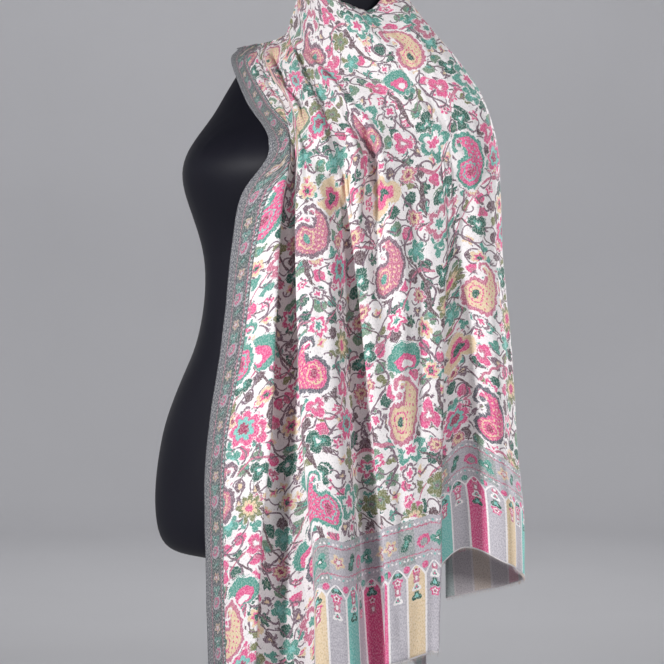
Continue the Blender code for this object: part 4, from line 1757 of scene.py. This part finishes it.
    def swayed(self, chart: Chart, plan: Wire, still: Wire, scale: float, reach: float) -> Wire:
        """Move a plan about by smooth noise, as a hand printer's blocks would.

        Args:
            chart: the chart to draw in.
            plan: the plan to move, in millimetres.
            still: the plan that the noise is read on.
            scale: how fine the noise is.
            reach: twice the furthest move, in millimetres.

        Returns:
            The moved plan.
        """
        noise = chart.vector("SUBTRACT", chart.drift(still, scale), (0.5, 0.5, 0.5))
        return chart.vector("ADD", plan, chart.vector("MULTIPLY", noise, (reach, reach, 0.0)))

    def field(self, chart: Chart, plan: Wire) -> Wire:
        """Print the ground between the borders, layer over layer.

        Args:
            chart: the chart to draw in.
            plan: the place on the flat cloth, in millimetres.

        Returns:
            The field's colours.
        """
        smooth = self.swayed(chart, plan, plan, 0.016, self.slow_sway)
        smooth = self.swayed(chart, smooth, plan, 0.075, self.hand_sway)
        rough = self.swayed(chart, smooth, plan, 0.62, self.stitch_sway)
        colour = self.sow(chart, IVORY, rough, SPRIG_CELL, SPRIGS, 0.0, MAUVE)
        colour = self.vines(chart, colour, smooth)
        colour = self.sow(chart, colour, rough, BLOSSOM_CELL, BLOSSOMS, 0.10, BROWN)
        colour = self.sow(chart, colour, rough, SHOWPIECE_CELL, SHOWPIECES, 0.09)
        return self.paisleys(chart, colour, rough)

    def trim(self, chart: Chart, along: Wire, climb: Wire, trim: Trim) -> Wire:
        """Print a grey trim with beads, lines and a row of small paisleys and flowers.

        Args:
            chart: the chart to draw in.
            along: the place along the trim, in millimetres.
            climb: the distance in from its outer edge, in millimetres.
            trim: which of the two trims it is.

        Returns:
            The trim's colours.
        """
        plan = trim.value
        hand = chart.vector("SUBTRACT", chart.drift(chart.join(along, climb), 0.4), (0.5, 0.5, 0.5))
        jog, hop, _ = chart.split(hand)
        along, climb = along + jog * self.trim_jog, climb + hop * self.trim_jog
        patch = chart.number("PINGPONG", along, plan.pitch * 1.5) > plan.pitch
        colour = chart.paint(*plan.grounds, patch)
        place = along / plan.pitch
        number = chart.number("FLOOR", place)
        x = (place - number - 0.5) * (plan.pitch / plan.grown)
        y = (climb - plan.middle) * (1 / plan.grown)
        tilt = (chart.number("PINGPONG", number, 1.0) - 0.5) * self.trim_tilt
        local = chart.turned(chart.join(x, y), tilt)
        kind = chart.number("FRACT", (number + 0.5) / len(TRIM_MOTIFS))
        colour = self.print_motif(chart, colour, local, kind, TRIM_MOTIFS, 0.0)
        for line in plan.lines:
            edge = chart.number("ABSOLUTE", climb - line - chart.wave(along, 9.0, 1.4))
            colour = chart.paint(colour, ROSE, edge < self.line_thick)
        second_tone = chart.number("PINGPONG", along, self.tone_run) > self.tone_run / 2
        tone = chart.paint(IVORY, SEA, second_tone)
        bead_x = (chart.number("FRACT", along / self.bead_pitch) - 0.5) * self.bead_pitch
        for row in plan.beads:
            bead = chart.vector("LENGTH", chart.join(bead_x, climb - row))
            colour = chart.paint(colour, tone, bead < self.bead_size)
        if trim is Trim.END:
            return colour
        zigzag = chart.wave(along, 5.2, 3.2)
        step = chart.number("PINGPONG", climb - 1.0, 5.5)
        fleck = chart.number("ABSOLUTE", step - zigzag - 0.8) < 0.6
        strip = chart.paint(chart.paint(SLATE, PEWTER, climb > self.edging_seam), DOVE, fleck)
        # Grey the selvedge's trim with pewter: partly its darker print, partly painted shade where the border
        # turns from the lamps.
        return chart.paint(chart.paint(colour, strip, climb < self.edging), PEWTER, self.grey_print_and_shade)

    def print_motif(
        self, chart: Chart, under: object, local: Wire, kind: Wire,
        motifs: tuple[Motif, ...], halo: float,
    ) -> Wire:
        """Print one motif about the middle of a local plan.

        Args:
            chart: the chart to draw in.
            under: the colours printed so far.
            local: the place from the motif's middle, in millimetres.
            kind: a number from 0 to 1 that picks the motif.
            motifs: the kinds to pick from.
            halo: the bare rim round the motif, as a share of its outline, or 0.

        Returns:
            The colours with the motif printed over them.
        """
        petals, waist, point = chart.split(chart.pick(kind, [
            (m.petals / MOST_PETALS, m.waist, m.point / MOST_POINT, 1) for m in motifs
        ]))
        reach, sit, ring = chart.split(chart.pick(kind, [
            (m.reach / MOST_REACH, m.sit / MOST_REACH, m.ring, 1) for m in motifs
        ]))
        core, _, _ = chart.split(chart.pick(kind, [(m.core, 0, 0, 1) for m in motifs]))
        x, y, _ = chart.split(local)
        y = y + sit * MOST_REACH
        away = chart.vector("LENGTH", chart.join(x, y))
        angle = chart.number("ARCTAN2", x, y)
        swing = chart.number("COSINE", angle * (petals * (MOST_PETALS / 2)))
        lobe = chart.number("POWER", chart.number("ABSOLUTE", swing), point * MOST_POINT)
        saw = chart.number("PINGPONG", away * 0.30, 0.5) * 0.22 + 0.92
        share = away / ((waist + (1 - waist) * lobe) * reach * MOST_REACH * saw)
        if halo:
            under = chart.paint(under, IVORY, share < 1 + halo)
        laid = chart.paint(under, chart.pick(kind, [m.colours[0] for m in motifs]), share < 1.0)
        laid = chart.paint(laid, chart.pick(kind, [m.colours[1] for m in motifs]), share < ring)
        return chart.paint(laid, chart.pick(kind, [m.colours[2] for m in motifs]), share < core)

    def arches(self, chart: Chart, across: Wire, up: Wire) -> Wire:
        """Print the row of pointed arches that stands on the cut end.

        Args:
            chart: the chart to draw in.
            across: the place across the flat cloth, in millimetres.
            up: the place up from the cut end, in millimetres.

        Returns:
            The arches' colours.
        """
        place = across / self.arch_pitch
        number = chart.number("FLOOR", place)
        x = (place - number - 0.5) * self.arch_pitch
        away = chart.number("ABSOLUTE", x)
        below = self.arch_top - up
        half = self.arch_pitch / 2
        slope = chart.number("MINIMUM", chart.number("MAXIMUM", below / self.arch_shoulder, 0.0), 1.0)
        width = chart.number("POWER", slope, self.arch_bow) * half
        kind = chart.number("FRACT", (number + 0.5) / len(ARCH_GROUNDS))
        ground = chart.pick(kind, list(ARCH_GROUNDS))
        row_place = below / self.sprig_row
        row = chart.number("FLOOR", row_place)
        local = chart.join(x, (row + 0.5 - row_place) * self.sprig_row)
        shift = chart.number("FRACT", (row + number + 0.5) / len(ARCH_SPRIG))
        sprig = self.print_motif(chart, ground, local, shift, ARCH_SPRIG, 0.0)
        head = chart.both(
            below < self.sprig_rows * self.sprig_row, below > self.bare_point * self.sprig_row
        )
        colour = chart.paint(ground, sprig, head)
        corner = chart.join(half - away, below - self.blossom_down)
        blossom = chart.vector("LENGTH", corner) < self.blossom_size
        spandrel = chart.paint(GREY, chart.pick(kind, list(ARCH_BLOSSOMS)), blossom)
        colour = chart.paint(spandrel, colour, away < width)
        gap = chart.number("ABSOLUTE", width - away)
        outline = chart.both(gap < self.arch_outline, below > 0.0)
        post_top = self.arch_shoulder * self.post_start
        post = chart.both(away > half - self.white_line, below > post_top)
        colour = chart.paint(colour, IVORY, chart.number("MAXIMUM", outline, post))
        return chart.paint(colour, IVORY, up < self.hem_line)


@dataclass(frozen=True)
class FormShell:
    """The form's matt navy-black shell, a little mottled, with a fine grain."""

    colour: tuple[float, float, float, float] = ink(15, 15, 24)
    worn: tuple[float, float, float, float] = ink(26, 26, 36)
    roughness: float = 0.58

    def material(self) -> bpy.types.Material:
        """Make a mottled shell with a fine grain.

        Returns:
            The material.
        """
        material = bpy.data.materials.new("form_shell_finish")
        material.use_nodes = True
        chart = Chart(material.node_tree)
        shader = material.node_tree.nodes["Principled BSDF"]
        place = object_place(chart)
        mottle = chart.drift(place, 9.0, 3.0, colour=False)
        grain = chart.drift(place, 900.0, 2.0, colour=False)
        chart.feed(shader.inputs["Base Color"], chart.paint(self.colour, self.worn, mottle * 0.6))
        chart.feed(shader.inputs["Roughness"], self.roughness - 0.1 + mottle * 0.2)
        shader.inputs["Specular IOR Level"].default_value = 0.22
        chart.feed(shader.inputs["Normal"], chart.bump(grain, 0.12, 0.0002))
        return material


@dataclass(frozen=True)
class StandPaint:
    """Satin black paint on steel, with the faint orange peel that spraying leaves."""

    colour: tuple[float, float, float, float] = ink(24, 24, 27)
    dusty: tuple[float, float, float, float] = ink(58, 57, 58)
    roughness: float = 0.38

    def material(self) -> bpy.types.Material:
        """Make dusty paint with its orange peel.

        Returns:
            The material.
        """
        material = bpy.data.materials.new("stand_paint_finish")
        material.use_nodes = True
        chart = Chart(material.node_tree)
        shader = material.node_tree.nodes["Principled BSDF"]
        place = object_place(chart)
        dust = chart.drift(place, 14.0, 4.0, colour=False)
        peel = chart.drift(place, 420.0, 1.0, colour=False)
        chart.feed(shader.inputs["Base Color"], chart.paint(self.colour, self.dusty, dust * 0.35))
        chart.feed(shader.inputs["Roughness"], self.roughness - 0.08 + dust * 0.22)
        chart.feed(shader.inputs["Normal"], chart.bump(peel, 0.10, 0.0004))
        return material


@dataclass(frozen=True)
class YarnEnds:
    """Loose woollen yarn ends, pale, with some of the stripes' colours in them."""

    roughness: float = 0.95

    def material(self) -> bpy.types.Material:
        """Make the yarns' mixed tones.

        Returns:
            The material.
        """
        material = bpy.data.materials.new("yarn_ends_finish")
        material.use_nodes = True
        chart = Chart(material.node_tree)
        shader = material.node_tree.nodes["Principled BSDF"]
        place = object_place(chart)
        shade = chart.drift(place, 46.0, 2.0, colour=False)
        tones = [ink(214, 204, 204), ink(186, 176, 180), ink(205, 190, 180), ink(222, 214, 214)]
        chart.feed(shader.inputs["Base Color"], chart.pick(shade, tones))
        chart.feed(shader.inputs["Roughness"], self.roughness - 0.1 + shade * 0.1)
        return material


@dataclass(frozen=True)
class Backing:
    """Pale studio paper for the floor and the wall behind."""

    name: str
    colour: tuple[float, float, float, float]

    def material(self) -> bpy.types.Material:
        """Make paper with a faint cloud in it.

        Returns:
            The material.
        """
        material = bpy.data.materials.new(self.name)
        material.use_nodes = True
        chart = Chart(material.node_tree)
        shader = material.node_tree.nodes["Principled BSDF"]
        cloud = chart.drift(object_place(chart), 1.3, 2.0, colour=False)
        darker = tuple(0.94 * part for part in self.colour[:3]) + (1.0,)
        chart.feed(shader.inputs["Base Color"], chart.paint(self.colour, darker, cloud))
        chart.feed(shader.inputs["Roughness"], 0.85 + cloud * 0.1)
        return material


def object_place(chart: Chart) -> Wire:
    """Return the place on the object, in metres."""
    node = chart.tree.nodes.new("ShaderNodeTexCoord")
    return Wire(chart, node.outputs["Object"])


# --- the studio ------------------------------------------------------------------------------------


@dataclass
class Lamp:
    """One soft box: where it stands, where it points, its size and its power."""

    name: str
    place: tuple[float, float, float]
    aim: tuple[float, float, float]
    size: float
    power: float
    spread: float = 60.0         # degrees, from the honeycomb in front of it

    def build(self) -> None:
        """Hang the lamp, out of the camera's sight."""
        light = bpy.data.lights.new(self.name, "AREA")
        light.shape, light.size = "DISK", self.size
        light.energy, light.spread = self.power, math.radians(self.spread)
        lamp = bpy.data.objects.new(self.name, light)
        lamp.location = self.place
        lamp.visible_camera = False
        way = Vector(self.aim) - Vector(self.place)
        lamp.rotation_euler = way.to_track_quat("-Z", "Y").to_euler()
        bpy.context.scene.collection.objects.link(lamp)


@dataclass
class Studio:
    """A round room: a pale floor that turns up into a pale wall, soft lamps, the camera."""

    floor_radius: float = 6.6
    sweep: float = 1.4
    wall: float = 4.0
    sides: int = 96
    lamps: tuple[Lamp, ...] = (
        Lamp("key", (-2.2, -2.45, 1.9), (0.16, 0.0, 0.92), 0.4, 12.9),
        Lamp("fill", (2.35, -2.6, 1.3), (0.14, 0.0, 0.95), 0.8, 5.2),
        Lamp("top", (0.0, -0.9, 3.4), (0.1, 0.0, 1.1), 1.0, 0.4),
        Lamp("rear key", (2.6, 1.9, 1.9), (0.05, 0.0, 0.92), 0.7, 13.0),
        Lamp("rear fill", (-1.6, 3.4, 1.5), (0.05, 0.0, 0.9), 1.6, 0.4),
        Lamp("wall wash", (0.0, 3.2, 4.6), (0.0, 7.4, 0.4), 4.0, 145.0, spread=170.0),
        Lamp("other wall wash", (0.0, -3.2, 4.6), (0.0, -7.4, 0.4), 4.0, 85.0, spread=170.0),
        Lamp("side wall wash", (4.2, 0.0, 4.6), (7.6, 0.0, 0.6), 3.0, 52.0, spread=170.0),
        Lamp("other side wall wash", (-4.2, 0.0, 4.6), (-7.6, 0.0, 0.6), 3.0, 52.0, spread=170.0),
    )

    def build_room(self) -> None:
        """Raise one sheet of paper from the floor up into the wall, all the way round."""
        bpy.ops.object.select_all(action="DESELECT")
        bpy.ops.mesh.primitive_circle_add(
            vertices=self.sides, radius=self.floor_radius, fill_type="NGON", location=(0, 0, 0)
        )
        paper = bpy.context.object
        paper.name = "studio_paper"
        bpy.ops.object.mode_set(mode="EDIT")
        bpy.ops.mesh.select_mode(type="EDGE")
        bpy.ops.mesh.select_all(action="SELECT")
        steps = 10
        radius = self.floor_radius
        for step in range(steps + 1):
            if step < steps:
                low, high = (math.pi / 2 * number / steps for number in (step, step + 1))
                rise = self.sweep * (math.cos(low) - math.cos(high))
                wider = radius + self.sweep * (math.sin(high) - math.sin(low))
            else:
                rise, wider = self.wall, radius
            bpy.ops.mesh.extrude_edges_move(TRANSFORM_OT_translate={"value": (0, 0, rise)})
            share = wider / radius
            bpy.ops.transform.resize(value=(share, share, 1), center_override=(0, 0, 0))
            radius = wider
        bpy.ops.object.mode_set(mode="OBJECT")
        bpy.ops.object.shade_smooth_by_angle(angle=math.radians(40))
        paper.data.materials.append(Backing("studio_paper_finish", ink(208, 208, 212)).material())

    def build_camera(self) -> None:
        """Stand the camera where the photograph was taken from."""
        lens = SENSOR * -CAMERA_PLACE[1] / (PHOTO_SIDE * PHOTO_PIXEL)
        data = bpy.data.cameras.new("camera")
        data.sensor_width, data.lens = SENSOR, lens
        camera = bpy.data.objects.new("camera", data)
        camera.location = CAMERA_PLACE
        camera.rotation_euler = (math.pi / 2, 0, 0)
        bpy.context.scene.collection.objects.link(camera)
        bpy.context.scene.camera = camera

    def build_air(self) -> None:
        """Fill the room with a weak even light."""
        world = bpy.data.worlds.new("room")
        world.use_nodes = True
        sky = world.node_tree.nodes["Background"]
        sky.inputs["Color"].default_value = (1.0, 1.0, 1.0, 1.0)
        sky.inputs["Strength"].default_value = 0.02
        bpy.context.scene.world = world
        bpy.context.scene.view_settings.view_transform = "Standard"

    def build(self) -> None:
        """Set up the whole studio."""
        self.build_room()
        self.build_camera()
        self.build_air()
        for lamp in self.lamps:
            lamp.build()


# --- the whole object --------------------------------------------------------------------------------


def main() -> None:
    """Build the studio, the stand, the form and the shawl, and report each piece."""
    logging.basicConfig(level=logging.INFO, format="%(name)s: %(message)s")
    Studio().build()
    paint = StandPaint().material()
    TurnedPiece("round_base", "stand_base", BASE_PROFILE).build(paint)
    TurnedPiece("upright_pole", "stand_pole", POLE_PROFILE).build(paint)
    DressForm().build(FormShell().material())

    form = skin_of("dress_form")
    wool = WoolPrint().material()
    yarn = YarnEnds().material()
    front = FrontFall(
        name="front_fall", node="shawl_front_fall", outward=-1, columns=221, rows=178,
        panels=(
            Panel(0, 3, 0), Panel(3, 5, 4), Panel(5, 9, 6.7), Panel(9, 16, 12.9),
            Panel(16, 22, 18, joins=True),
        ),
        curl_turn=110, level_cut=FRONT_CUTS.index("bust"),
    )
    back = BackFall(
        name="back_fall", node="shawl_back_fall", outward=1, columns=197, rows=150,
        panels=(
            Panel(0, 2, 0), Panel(2, 4, 3), Panel(4, 6, 5), Panel(6, 8, 7), Panel(8, 10, 9),
            Panel(10, 12, 11), Panel(12, 14, 14),
        ),
        curl_turn=110,
    )
    for fall, fringe_name in ((front, "front_fringe"), (back, "back_fringe")):
        sheet = fall.build(form, wool)
        fringe = Fringe(fringe_name).build(fall, yarn)
        fall.longest()
        fall.flat_area()
        log.info("%s: flat area %.3f m2, longest %.3f m", fall.name, fall.flat_area(), fall.longest())


if __name__ == "__main__":
    main()
